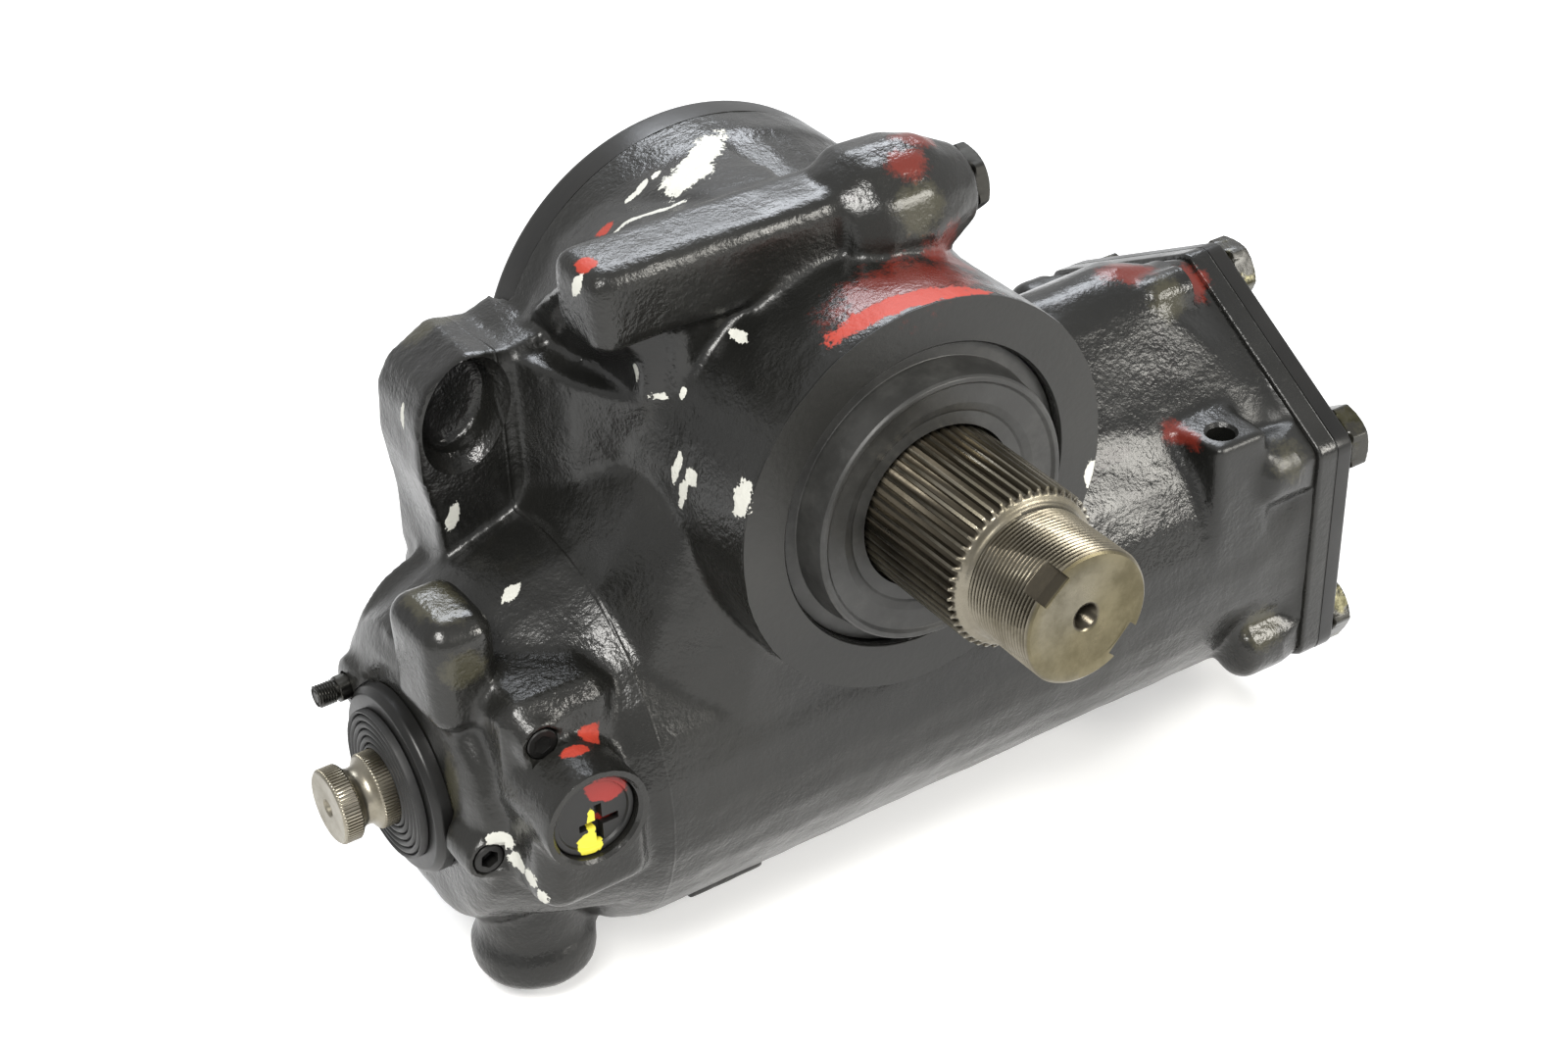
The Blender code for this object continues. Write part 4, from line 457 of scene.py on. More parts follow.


# Paint marks, and worn places that are partly painted highlights, as (place, half sizes, turn in degrees)
WHITE_MARKS = (
    ((-13, 17.5, 177), (25, 7, 8), (0, 0, 40)), ((-22, 10, 177), (14, 9.5, 8), (0, 0, 40)),
    ((-31.7, 22.4, 171.3), (5, 2, 3), (0, 0, 30)), ((-26, 23.5, 173), (3.5, 1.6, 2), (0, 0, 40)),
    ((-36.5, 21.5, 169), (3, 2, 3), (0, 0, 0)), ((-44, -2, 174.5), (15, 2.6, 5), (0, -13, -12)),
    ((-89, -36, 180), (3, 2.4, 5), (25, 0, 0)), ((-63, -27, 138), (5, 1.6, 5), (0, 0, 0)),
    ((-60.7, -32, 131), (5, 5, 1.8), (0, 0, 0)), ((-58, -41.4, 134.6), (4, 1.5, 2), (0, 0, 0)),
    ((-41.5, -48.5, 152), (3, 5, 2), (0, 0, 0)), ((-66.4, -48.6, 114), (5, 2.2, 6), (10, 0, 0)),
    ((-67.2, -53.4, 107.5), (5, 2.4, 6.5), (15, 0, 0)), ((-66, -57, 114.5), (5, 3.4, 3.4), (0, 0, 0)),
    ((-65, -84, 120.6), (6, 4.6, 7.5), (0, 0, 0)), ((-111.3, -14.4, 65.9), (5.5, 2.4, 4), (0, 0, 20)),
    ((-119.8, 33.3, 112.1), (4, 2, 5), (0, 0, 0)), ((-112.3, 20, 77), (2.4, 4, 5), (0, 20, 0)),
    ((-141.5, -53, 5), (5.5, 5, 4), (0, 0, 0)), ((-139.4, -58.5, -2), (4.5, 5, 4), (0, 0, 0)),
    ((-138.8, -65.5, -4), (4, 4.6, 4.4), (0, 0, 0)), ((-138.7, -70.5, -9), (3, 3.6, 4.4), (0, 0, 0)),
    ((65.4, -88.4, 80.7), (3, 4, 6), (0, 0, 0)), ((-121, -50, -39), (2.4, 3.5, 3), (0, 0, 0)),
)
RED_MARKS = (
    ((-3, -82.5, 164), (34, 5.4, 12), (0, 0, -7)), ((-112, -63, 39.5), (5, 4.4, 3.6), (0, 0, 0)),
    ((-121, -69.5, 41.5), (5, 3, 3), (0, 0, 0)), ((-85, -35, 186), (4, 4, 4), (0, 0, 0)),
    ((-53, 10, 167), (3, 5, 6), (0, 0, 0)),
)
RED_SMEARS = (
    ((34, -36, 191), (9, 6, 6), (0, 0, 0)), ((6, -73, 165), (30, 13, 12), (0, 0, 0)),
    ((31, -58, 160), (12, 8, 10), (0, 0, 0)), ((24, -47, 190), (8, 6, 6), (0, 0, 0)),
    ((148, -4, 92), (12, 8, 8), (0, 0, 0)), ((171, -12, 83), (7, 8, 8), (0, 0, 0)),
    ((131, -57, 56), (5, 9, 5), (0, 0, 0)),
)
# Worn paint on bosses and edges, partly painted highlight where the gloss would catch the lamps
WORN_AND_HIGHLIGHT_MARKS = (
    ((-99, 55, 130), (13, 8, 8), (0, 0, 0)), ((-142, -23, 81), (9, 14, 4), (0, 0, 0)),
    ((-143, -43, 66), (9, 5, 7), (0, 0, 0)), ((-148, -34, 17), (4, 5, 12), (0, 0, 0)),
    ((164, -72, 40), (9, 8, 8), (0, 0, 0)), ((160, -72, -30), (8, 8, 9), (0, 0, 0)),
    ((153, -20, 86), (8, 8, 8), (0, 0, 0)), ((22, -55, 178), (10, 6, 9), (0, 0, 0)),
)
RED_PLUG_MARKS = (((-116, -78, 31), (9, 7, 6), (0, 20, 0)), ((-117, -74, 18.5), (7, 4, 1.6), (0, 0, 0)))
YELLOW_MARKS = (((-124, -79.5, 12.6), (5.2, 5, 4.6), (0, 0, 0)), ((-122.5, -79, 20), (2, 4, 6), (0, 0, 0)))

PAINT_DARK = (0.0065, 0.0066, 0.0060)
PAINT_LIGHT = (0.0140, 0.0138, 0.0122)
DUST = (0.030, 0.028, 0.022)
# Olive-brown of worn metal, which also serves as painted highlight on the worn places
WORN_METAL_AND_HIGHLIGHT = (0.060, 0.056, 0.034)
MARK_RED = (0.42, 0.040, 0.020)
MARK_WHITE = (0.62, 0.62, 0.57)


def cast_paint():
    """Black paint over sand-cast iron, with machined faces, dust, worn places that are partly painted highlights,
    and marking paint.
    """
    g = Graph("cast_black_paint")
    along_x, along_y = g.part("X"), g.part("Y")
    # The boss's face and the flange's joint face are machined
    machined = g.maths("MAXIMUM", g.ramp(along_y, -0.0878, -0.0882), g.ramp(along_x, 0.1840, 0.1844))
    # Sand grain, rougher in some places than in others, and the mould's parting line
    sand = g.total((g.noise(900, 2, 0.55), 0.40), (g.noise(360, 2, 0.5), 0.55), (g.noise(120, 2, 0.45), 0.30),
                   (g.voronoi(480), 0.22))
    rugged = g.ramp(g.noise(16, 3, 0.55), 0.34, 0.66, 0.35, 1.05)
    sand = g.maths("MULTIPLY", sand, rugged)
    seam = g.ramp(g.maths("ABSOLUTE", g.maths("SUBTRACT", along_x, -0.0905)), 0.0, 0.0008, 1.0, 0.0)
    cut = g.total((g.noise(420, 2), 0.20), (0.75, 1.0))
    height = g.blend(machined, g.total((sand, 1.0), (seam, 0.30)), cut)
    # Marking paint, and worn places that are partly painted highlights
    white = g.marks(WHITE_MARKS, 0.03, 1.1)
    red = g.maths("MULTIPLY", g.marks(RED_MARKS, 0.10, 0.9), g.maths("SUBTRACT", 1.0, machined))
    smear = g.maths("MULTIPLY", g.marks(RED_SMEARS, 0.30, 1.2), 0.26)
    # Worn places, partly painted highlight: olive-brown patches on the high spots
    worn = g.maths("MULTIPLY", g.marks(WORN_AND_HIGHLIGHT_MARKS, 0.30, 0.9), 0.60)
    # Colour, from the paint up
    broad = g.ramp(g.noise(11, 3, 0.5), 0.35, 0.7)
    dust = g.ramp(g.noise(60, 6, 0.7), 0.56, 0.80)
    tone = g.mix(broad, PAINT_DARK, PAINT_LIGHT)
    tone = g.mix(g.maths("MULTIPLY", dust, 0.22), tone, DUST)
    tone = g.mix(worn, tone, WORN_METAL_AND_HIGHLIGHT)
    tone = g.mix(g.maths("MAXIMUM", g.maths("MULTIPLY", red, 0.85), smear), tone, MARK_RED)
    tone = g.mix(white, tone, MARK_WHITE)
    # Gloss
    rough = g.ramp(g.noise(24, 4, 0.6), 0.3, 0.75, 0.20, 0.38)
    rough = g.blend(machined, rough, 0.42)
    rough = g.blend(g.maths("MAXIMUM", white, red), rough, 0.55)
    normal = g.bump(g.total((height, 1.0), (white, 0.3)), 0.62, 0.0008)
    return g.finish(colour=tone, rough=rough, normal=normal, specular=0.42)


def face_paint():
    """Black paint on smoother metal than the casting."""
    g = Graph("machined_black_paint")
    height = g.total((g.noise(300, 2), 0.3), (g.noise(70, 2), 1.0))
    tone = g.mix(g.ramp(g.noise(20, 3), 0.35, 0.7), (0.0055, 0.0055, 0.0053), (0.0120, 0.0117, 0.0110))
    rough = g.ramp(g.noise(30, 4), 0.3, 0.75, 0.28, 0.42)
    return g.finish(colour=tone, rough=rough, normal=g.bump(height, 0.25, 0.0005), specular=0.32)


def steel(name, colour, dark, rough, scale=700, strength=0.12):
    """Machined steel with tool marks, a little oil and browning."""
    g = Graph(name)
    marks = g.noise(scale, 2, 0.5)
    film = g.ramp(g.noise(55, 5, 0.65), 0.35, 0.72)
    tone = g.mix(film, colour, dark)
    tone = g.mix(g.maths("MULTIPLY", marks, 0.25), tone, tuple(min(1, v * 1.5) for v in colour))
    roughness = g.maths("ADD", rough, g.maths("MULTIPLY", film, 0.16))
    return g.finish(colour=tone, metal=1.0, rough=roughness, normal=g.bump(marks, strength, 0.0003))


def shaft_steel():
    """Steel of the sector shaft, with painted shade between the splines and in the thread, and darker on its oily
    end face.
    """
    g = Graph("sector_shaft_steel")
    node = g.tree.nodes.new("ShaderNodeCombineXYZ")
    g.put(node.inputs[0], g.part("X"))
    g.put(node.inputs[2], g.maths("SUBTRACT", g.part("Z"), SECTOR_Z * MM))
    radius = g.vector("LENGTH", node.outputs[0])
    along = g.part("Y")
    # Painted shade between the splines and in the thread, and the oily end face
    valley = g.maths("MULTIPLY", g.ramp(radius, 0.0269, 0.0258), g.ramp(along, -0.1385, -0.1375))
    groove = g.maths("MULTIPLY", g.ramp(radius, 0.0223, 0.0216), g.ramp(along, -0.1400, -0.1412))
    end = g.ramp(along, -0.1682, -0.1688)
    groove = g.maths("MULTIPLY", groove, g.maths("SUBTRACT", 1.0, end))
    film = g.ramp(g.noise(60, 5, 0.65), 0.35, 0.70)
    tone = g.mix(film, (0.190, 0.174, 0.140), (0.120, 0.108, 0.080))
    tone = g.mix(end, tone, g.mix(film, (0.150, 0.132, 0.085), (0.092, 0.080, 0.048)))
    # Painted shade: the spline valleys and the thread's groove are darkened
    tone = g.mix(g.maths("MULTIPLY", g.maths("MAXIMUM", valley, groove), 0.82), tone, (0.045, 0.038, 0.028))
    tone = g.mix(g.ramp(g.noise(330, 5, 0.7), 0.62, 0.78), tone, (0.12, 0.10, 0.07))
    rough = g.total((film, 0.18), (valley, 0.12), (0.27, 1.0))
    return g.finish(colour=tone, metal=1.0, rough=rough, normal=g.bump(g.noise(800, 3), 0.15, 0.0003))


def bolt_steel():
    """Bolt steel under worn black paint."""
    g = Graph("bolt_steel")
    painted = g.ramp(g.noise(95, 4, 0.6), 0.36, 0.50)
    film = g.ramp(g.noise(240, 3, 0.6), 0.35, 0.7)
    tone = g.mix(film, (0.085, 0.080, 0.050), (0.045, 0.042, 0.025))
    tone = g.mix(painted, tone, (0.020, 0.019, 0.015))
    metal = g.ramp(painted, 0.0, 1.0, 1.0, 0.15)
    rough = g.ramp(painted, 0.0, 1.0, 0.30, 0.26)
    height = g.total((g.noise(260, 3), 1.0), (painted, 0.5))
    return g.finish(colour=tone, metal=metal, rough=rough, normal=g.bump(height, 0.35, 0.0004), specular=0.4)


def matt(name, colour, rough):
    """Rubber or plastic with a dusty, slightly uneven surface."""
    g = Graph(name)
    tone = g.mix(g.ramp(g.noise(70, 5, 0.7), 0.4, 0.75), colour, tuple(v * 1.9 for v in colour))
    roughness = g.ramp(g.noise(90, 3), 0.3, 0.7, rough - 0.06, rough + 0.08)
    return g.finish(colour=tone, rough=roughness, normal=g.bump(g.noise(500, 2), 0.15, 0.0003), specular=0.4)


def plug_paint():
    """Port plug of black plastic with red and yellow marking paint."""
    g = Graph("marked_plug_plastic")
    red = g.marks(RED_PLUG_MARKS, 0.05, 0.5)
    yellow = g.marks(YELLOW_MARKS, 0.03, 0.5)
    tone = g.mix(red, (0.007, 0.007, 0.007), (0.26, 0.018, 0.014))
    tone = g.mix(yellow, tone, (0.66, 0.60, 0.05))
    return g.finish(colour=tone, rough=0.42, normal=g.bump(g.noise(300, 2), 0.15, 0.0003), specular=0.4)


PAINT = cast_paint()
FACE_PAINT = face_paint()
SHAFT = shaft_steel()
BARE = steel("bare_steel", (0.265, 0.245, 0.200), (0.165, 0.150, 0.115), 0.28, 900, 0.10)
BOLT = bolt_steel()
DARK = steel("black_steel", (0.050, 0.049, 0.045), (0.028, 0.027, 0.025), 0.36)
RUBBER = matt("boot_rubber", (0.012, 0.012, 0.012), 0.50)
RING_RUBBER = matt("dust_ring_rubber", (0.022, 0.022, 0.021), 0.40)
PLUG = matt("plug_plastic", (0.014, 0.014, 0.0145), 0.42)
MARKED_PLUG = plug_paint()
RING_PLASTIC = matt("ring_plastic", (0.30, 0.12, 0.05), 0.50)


# Casting

FLANGE_OUTLINE = hexagon(HEX_APOTHEM, HEX_CORNER_R, HEX_PHASE)


def corner_places():
    """Centres of the end cover's bolts, as (Y, Z)."""
    angles = [HEX_PHASE + 2 * math.pi * i / 6 for i in range(6)]
    return [(CORNER_BOLT_CIRCLE_R * math.cos(a), CORNER_BOLT_CIRCLE_R * math.sin(a)) for a in angles]


def side_bolt_places():
    """Centres of the rear cover's bolts, as (X, Z)."""
    angles = [math.radians(-33 + 246 / 7 * i) for i in range(8)]
    return [(SIDE_BOLT_CIRCLE_R * math.cos(a), SECTOR_Z + SIDE_BOLT_CIRCLE_R * math.sin(a)) for a in angles]


def mouth(axis, face, outward, radius, chamfer, depth, centre, steps=96):
    """Bore with a chamfered mouth; outward is the side that the mouth looks to, +1 or -1."""
    out, inner = face + 2 * outward, face - outward * chamfer
    path = [(out, 0), (out, radius + chamfer + 2), (inner, radius), (face - outward * depth, radius),
            (face - outward * depth, 0)]
    return turned("tool", path, axis, centre, steps)


def housing_relief():
    """Rings that hollow the neck in front of the end flange, and slim the valve end."""
    ring = []
    for x, out in ((NECK_START_X, 16), (90, 6), (98, 1.5), (150, 0), (166, 0.3), (171, 1.5), (174.5, 5),
                   (FLANGE_FRONT_X, 11)):
        crest = 88 + 6.5 * min(1, (x - NECK_START_X) / 50)

        # Hollow all round, but for a crest that runs to the flange's top corner
        def inner(angle, out=out, crest=crest):
            off = (angle - HEX_PHASE + math.pi) % (2 * math.pi) - math.pi
            return NECK_R + out + (crest - NECK_R) * math.exp(-(off / NECK_CREST_WIDTH) ** 2)

        ring.append((x, inner))
    ring += [(FLANGE_FRONT_X, 125), (NECK_START_X, 125)]
    neck = turned("tool", ring, "X", (0, 0), 180)
    # Slimmer behind the valve's axis
    end = turned("tool", [(-155, 42), (-148.2, 43), (-146, 48), (-143, 54), (-138, 60), (-130, 66), (-118, 71),
                          (-100, 78), (-100, 110), (-155, 110)], "X", (0, 0), 120)
    boolean(end, [block((-160, -6, -120), (-90, 120, 50))], "INTERSECT")
    # Slimmer below it
    foot = turned("tool", [(-155, 43), (-148, 45), (-144, 54), (-138, 57), (-122, 58), (-108, 64), (-96, 74),
                           (-96, 125), (-155, 125)], "X", (0, 0), 120)
    boolean(foot, [block((-160, -120, -120), (-90, 120, -37))], "INTERSECT")
    return [neck, end, foot]


def housing_fills():
    """Bodies added to the casting before its skin is rounded: closed bores, rims, bosses and webs."""
    return_neck = [(-40, 0), (-40, 18.6), (-63, 18.6, 4), (-67, 21.6, 3), (-76, 21.6, 4.5), (-80.5, 17.0),
                   (-80.5, 0)]
    plug_boss = [(14, 0), (14, 13), (24, 15.6, 8), (38, 14.8, 8), (44, 0)]
    neck_bump = [(146, 0), (146, 8.5, 7), (170, 8.5), (170, 0)]
    fills = [
        # Sector boss, its bore and the drum's rim
        rod("Y", BOSS_FACE_Y - 2, -60, BOSS_R, SECTOR, 160),
        rod("Y", -60, 44, 60, SECTOR),
        rod("Y", 30, 51, DRUM_R, SECTOR, 160),
        # Valve end and cylinder, as one core
        turned("tool", [(-147.5, 0), (-147.5, 42), (-144, 51), (-138, 55), (-122, 56.5), (-105, 59), (-100, 62),
                        (180, 62), (180, 0)], "X"),
        # Pressure port, bleed fitting and plug boss
        rod("Y", PORT_FACE_Y - 2.2, -60, 18.5, PORT, 64),
        rod("X", -151.5, -120, 10.0, BLEED, 64),
        rod("X", 30, 50.5, 11, HEX_PLUG, 32),
        # Webs from the lug and the valve block to the boss
        prism("tool", [(-87, 24), (-56, 24), (-56, -30), (-66, -30), (-78, -6)], "Z", 46, 128),
        prism("tool", [(-66, -30), (-60, -36), (-20, -36), (-20, 10), (-66, 10)], "Z", 112, 156),
        # Bracket, and the step between it and the flange
        prism("tool", [(130, -46), (134, -73.5), (157, -73.5), (157, -25), (126, -25)], "Z", 8, 56.5),
        prism("tool", [(154, -72), (179, -72), (179, -30), (154, -30)], "Z", 8, 37),
        # Neck and rim of the return port, and the round boss of the plug beside the rail
        turned("tool", rounded(return_neck, 6), "Z", RETURN, 64),
        turned("tool", rounded(plug_boss, 6), "X", (-36, 177.5), 48),
    ]
    # Boss behind each corner bolt, and a small one on the neck
    for i, place in enumerate(corner_places()):
        start = 150 if i in (2, 3) else 153
        boss = [(start, 0), (start, 12.8, 9), (178, 12.8), (178, 0)]
        fills.append(turned("tool", rounded(boss, 6), "X", place, 48))
    fills.append(turned("tool", rounded(neck_bump, 6), "X", (-14, 84), 32))
    return fills


def pocket(share):
    """Oval outline of the lug's pocket at a share of its full size."""
    def radius(angle):
        turn = angle - POCKET_TILT
        return share / math.hypot(math.cos(turn) / POCKET_HALF_SIZES[0], math.sin(turn) / POCKET_HALF_SIZES[1])
    return radius


def housing_cutters():
    """Bores, ports, bolt holes and machined faces at the sizes of the CAD, and the bowl of the lug's pocket."""
    bowl = [(14, 0), (14, pocket(1.15)), (20, pocket(1.02)), (23, pocket(0.92)), (26, pocket(0.78)),
            (28, pocket(0.6)), (29.2, pocket(0.4)), (29.8, 0)]
    cuts = [
        # Cylinder, valve bore and the steps of the bearing cap and the bleed fitting
        rod("X", -88, 190, CYLINDER_R, steps=160),
        rod("X", -99, -87, 21),
        rod("X", -149, -98, 28),
        rod("X", -160, -132.2, 30.3),
        rod("X", -160, -148, 34.2),
        rod("X", -154, -150, 5.2, BLEED, 48),
        rod("X", -151, -139.7, 4.3, BLEED, 48),
        # Sector boss: its face, seal bore, ring groove and bearings
        rod("Y", -96, BOSS_FACE_Y, 72, SECTOR),
        mouth("Y", BOSS_FACE_Y, -1, SEAL_BORE_R, 0.7, 19.4, SECTOR, 160),
        rod("Y", -82.2, -79.0, 54.1, SECTOR, 160),
        rod("Y", -70, -65, 36, SECTOR),
        rod("Y", -66, -26, 41, SECTOR),
        # Sector chamber and the seat of the rear cover
        prism("tool", flat_circle(CHAMBER_R, CHAMBER_FLAT_Z), "Y", -27, 47),
        prism("tool", flat_circle(DRUM_R + 1.5, COVER_FLAT_Z), "Y", DRUM_FACE_Y, 60),
        # Joint face of the end flange
        block((FLANGE_X, -100, -100), (196, 100, 110)),
        # Ports: face, bore and the passage behind it
        rod("Y", -90, PORT_FACE_Y, 21, PORT, 64),
        mouth("Y", PORT_FACE_Y, -1, 15, 1.1, 16, PORT),
        rod("Y", -68, -20, 4, PORT, 24),
        rod("Z", -90, RETURN_FACE_Z, 16, RETURN, 64),
        mouth("Z", RETURN_FACE_Z, -1, 13, 0.8, 14, RETURN),
        rod("Z", -64, -15, 4, RETURN, 24),
        # Small plugs and the bracket's hole
        rod("X", 36.7, 56, 9.3, HEX_PLUG, 48),
        mouth("Y", UPPER_SOCKET_FACE_Y, -1, 5.5, 0.5, 9, UPPER_SOCKET, 48),
        mouth("Y", LOWER_SOCKET_FACE_Y, -1, 5.5, 0.5, 9, LOWER_SOCKET, 48),
        mouth("Z", BRACKET_FACE_Z, 1, 5, 0.6, 26, BRACKET_HOLE, 64),
        turned("tool", bowl, "Y", POCKET, 64),
    ]
    cuts += [rod("X", 171.5, 190, CORNER_BOLT_HOLE_R, place, 32) for place in corner_places()]
    cuts += [rod("Y", 28, 48, SIDE_BOLT_HOLE_R, place, 32) for place in side_bolt_places()]
    return cuts


def round_skin(cast):
    """Make one skin of the overlapping bodies, round its edges and give it a casting's slow waves."""
    remesh = cast.modifiers.new("remesh", "REMESH")
    remesh.mode = "VOXEL"
    remesh.voxel_size = SKIN_VOXEL
    smooth = cast.modifiers.new("smooth", "SMOOTH")
    smooth.factor = 0.5
    smooth.iterations = SKIN_SMOOTHINGS
    waves = bpy.data.textures.new("casting_waves", "CLOUDS")
    waves.noise_scale = WAVE_LENGTH
    displace = cast.modifiers.new("waves", "DISPLACE")
    displace.texture = waves
    displace.texture_coords = "LOCAL"
    displace.strength = WAVE_HEIGHT
    apply_all(cast)


def add_flange(cast):
    """Step the neck in below the flange's outline, then add the flange with its own crisp edges."""
    step = [(x, inset(FLANGE_OUTLINE, amount)) for x, amount in ((164, -3), (168, 0.2), (173, 1.2), (177, 2.2))]
    step += [(177, 130), (164, 130)]
    boolean(cast, [turned("tool", step, "X", (0, 0), 240), block((176.8, -130, -130), (200, 130, 130))])
    edge = ((FLANGE_FRONT_X, 0.9), (176.7, 0.4), (177.3, 0.1), (178, 0.05), (FLANGE_X, 0.05))
    flange = [(x, inset(FLANGE_OUTLINE, amount)) for x, amount in edge]
    flange = [(FLANGE_FRONT_X, 0)] + flange + [(FLANGE_X, 0)]
    boolean(cast, [turned("tool", flange, "X", (0, 0), 240)], "UNION")


def make_housing():
    cast = copy_of("gear_housing", "housing_cast")
    boolean(cast, housing_relief())
    cast = one_mesh([cast] + housing_fills())
    round_skin(cast)
    add_flange(cast)
    boolean(cast, housing_cutters())
    dress(cast, PAINT, "gear_housing", angle=38)


# Shafts

def make_sector_shaft():
    """Output shaft: spline, thread and end face new, the rest from the CAD."""
    splines = teeth(SPLINES, SPLINE_R, SPLINE_ROOT_R)
    stations = [(-90.6, 0), (-90.6, 25.2), (-91.2, splines), (-136.8, splines), (-137.5, less(splines, 26.5)),
                (-138.4, less(splines, 25.4)), (-138.8, 24.9), (-139.0, 24.0), (-139.6, 23.2), (-140.2, 22.9),
                (-140.6, THREAD_R - 0.9)]
    stations += thread(-140.8, -168.2, THREAD_R, 0.95, 1.5)
    stations += [(-168.5, THREAD_R - 0.6), (SHAFT_END_Y, THREAD_R - 1.4), (SHAFT_END_Y, 17.2), (-168.95, 16.8),
                 (-168.95, 5.4), (-168.6, 4.9), (-168.2, 4.0), (-157.2, 4.0), (-155.4, 0)]
    front = turned("sector_shaft_steel", stations, "Y", SECTOR, teeth_angles(SPLINES))
    rear = copy_of("sector_shaft", "rear")
    boolean(rear, [rod("Y", -175, -91.3, 40, SECTOR)])
    boolean(front, [rear], "UNION")
    # The two notches in the end of the thread
    for degrees in (130, -45):
        turn = math.radians(degrees)
        wedge = prism("notch", [(SHAFT_END_Y - 1, 17.4), (SHAFT_END_Y + 4.5, 18.0), (SHAFT_END_Y + 10, 24.5),
                                (SHAFT_END_Y - 1, 24.5)], "X", -5.6, 5.6)
        lift = Matrix.Translation(Vector((0, 0, SECTOR_Z)) * MM + ORIGIN)
        wedge.data.transform(lift @ Matrix.Rotation(math.pi / 2 - turn, 4, "Y") @ Matrix.Translation(-ORIGIN))
        boolean(front, [wedge])
    dress(front, SHAFT, "sector_shaft", angle=28)


def make_input_shaft():
    """Input shaft: the serrated end new, with its waist for a clamp bolt, the rest from the CAD."""
    band = teeth(SERRATIONS, INPUT_R, INPUT_R - 0.55)
    stations = [(-169.7, 0), (-169.7, 1.6), (-177.1, 2.6), (INPUT_END_X, 3.4), (INPUT_END_X, 11.9),
                (-177.4, 12.4), (-177.0, less(band, 12.8)), (-176.6, band), (-171.4, band),
                (-170.9, less(band, 12.7)), (-170.5, 12.2), (-169.6, 10.9), (-168.7, 10.2), (-167.6, 10.0),
                (-165.8, 10.05), (-164.7, 10.7), (-163.7, 12.1), (-163.3, less(band, 12.7)), (-162.8, band),
                (-153.4, band), (-152.6, 12.5), (-152.6, 0)]
    front = turned("input_shaft_steel", stations, "X", (0, 0), teeth_angles(SERRATIONS))
    rear = copy_of("input_shaft", "rear")
    boolean(rear, [rod("X", -182, -153.0, 20)])
    boolean(front, [rear], "UNION")
    dress(front, BARE, "input_shaft", angle=28)


# Ring, boot, cap and bleed fitting

def make_dust_ring():
    corners = [(-82.0, 52.2), (-84.9, 52.2, 0.4), (-85.4, 47.0, 0.5), (-96.6, 45.7, 0.5), (-97.5, 45.0, 0.5),
               (-97.5, 43.6, 0.4), (-96.4, 42.6, 0.6), (-95.9, 36.0, 0.6), (-95.2, 33.4, 0.5), (-94.8, 32.6, 0.4),
               (-94.8, 28.2), (-92.4, 28.2), (-92.0, 31.4), (-82.0, 31.4)]
    dress(turned("dust_ring", rounded(corners), "Y", SECTOR, 160), RING_RUBBER, "sector_dust_ring", angle=40)


def make_boot():
    """Flat boot with ring-shaped folds."""
    outer, inner, folds, steps = 26.2, 13.5, 5, 80
    path = [(-154.9, inner), (-154.9, outer), (-156.6, outer)]
    for i in range(steps + 1):
        share = i / steps
        dip = 1.5 * (1 - abs(math.cos(math.pi * share * folds)) ** 0.55)
        path.append((-158.0 + 0.5 * (1 - share) + dip, outer - 0.3 - (outer - inner - 0.3) * share))
    dress(turned("boot_folds", path, "X", (0, 0), 128), RUBBER, "dust_boot", angle=60)


def make_bearing_cap():
    corners = [(-154.5, 22.0), (-154.5, 31.0, 1.0), (-152.6, 33.0, 2.0), (-148.3, 33.0), (-148.3, 30.0),
               (-132.5, 30.0), (-132.5, 15.8), (-135.0, 15.8), (-135.0, 22.0)]
    dress(turned("bearing_cap", rounded(corners), "X", (0, 0), 128), FACE_PAINT, "input_bearing_cap", angle=40)


def make_bleed_fitting():
    hexagonal = hexagon(4.4, 4.75, 0.3)
    stations = [(-163.0, 0), (-163.0, 2.0), (-162.6, 2.2), (-162.6, 3.0), (-163.0, 3.2), (-163.0, 3.5)]
    stations += thread(-162.7, -156.6, 4.1, 0.6, 1.0)
    stations += [(-156.4, 3.2), (-155.6, 3.2), (-155.6, 4.2), (-155.2, hexagonal), (-151.2, hexagonal),
                 (-150.6, 4.6), (-150.3, 4.6), (-150.3, 4.0), (-140.0, 4.0), (-140.0, 0)]
    dress(turned("bleed_screw", stations, "X", BLEED, 60), DARK, "bleed_fitting", angle=30)


# Bolts, covers and plugs

def bolt(name, node, base, shank, length, corner_r, height, axis, centre, phase, material=BOLT):
    """Hexagon bolt that stands on base along an axis: shank radius and length, head radius and height."""
    flat = corner_r * math.cos(math.radians(30))
    head = hexagon(flat, corner_r * 0.985, phase)
    stations = [(-length, 0), (-length, shank - 0.8), (-length + 0.8, shank), (0, shank), (0, flat * 0.97),
                (0.35, flat * 0.97), (0.35, less(head, flat * 1.02)), (0.9, head)]
    for i in range(9):
        level = height * 0.62 + height * 0.36 * i / 8
        stations.append((level, less(head, flat * 0.93 + (height - level) * 1.7)))
    stations += [(height, flat * 0.90), (height, flat * 0.60), (height - 0.25, flat * 0.52), (height - 0.25, 0)]
    path = [(base + along, radius) for along, radius in stations]
    dress(turned(name, path, axis, centre, 96), material, node, angle=30)


def make_bolts():
    for i, place in enumerate(corner_places()):
        bolt(f"cover_bolt_{i + 1}", f"end_cover_bolt_{i + 1}", 192.1, 7.0, 20, 12.7, 8.8, "X", place, 0.5 * i)
    for i, place in enumerate(side_bolt_places()):
        bolt(f"rear_bolt_{i + 1}", f"side_cover_bolt_{i + 1}", 58.6, 4.0, 28, 7.5, 5.3, "Y", place, 0.4 * i)
    bolt("top_hex_plug", "side_hex_plug", 51.3, 9.0, 14, 12.0, 5.7, "X", HEX_PLUG, 0.3, DARK)


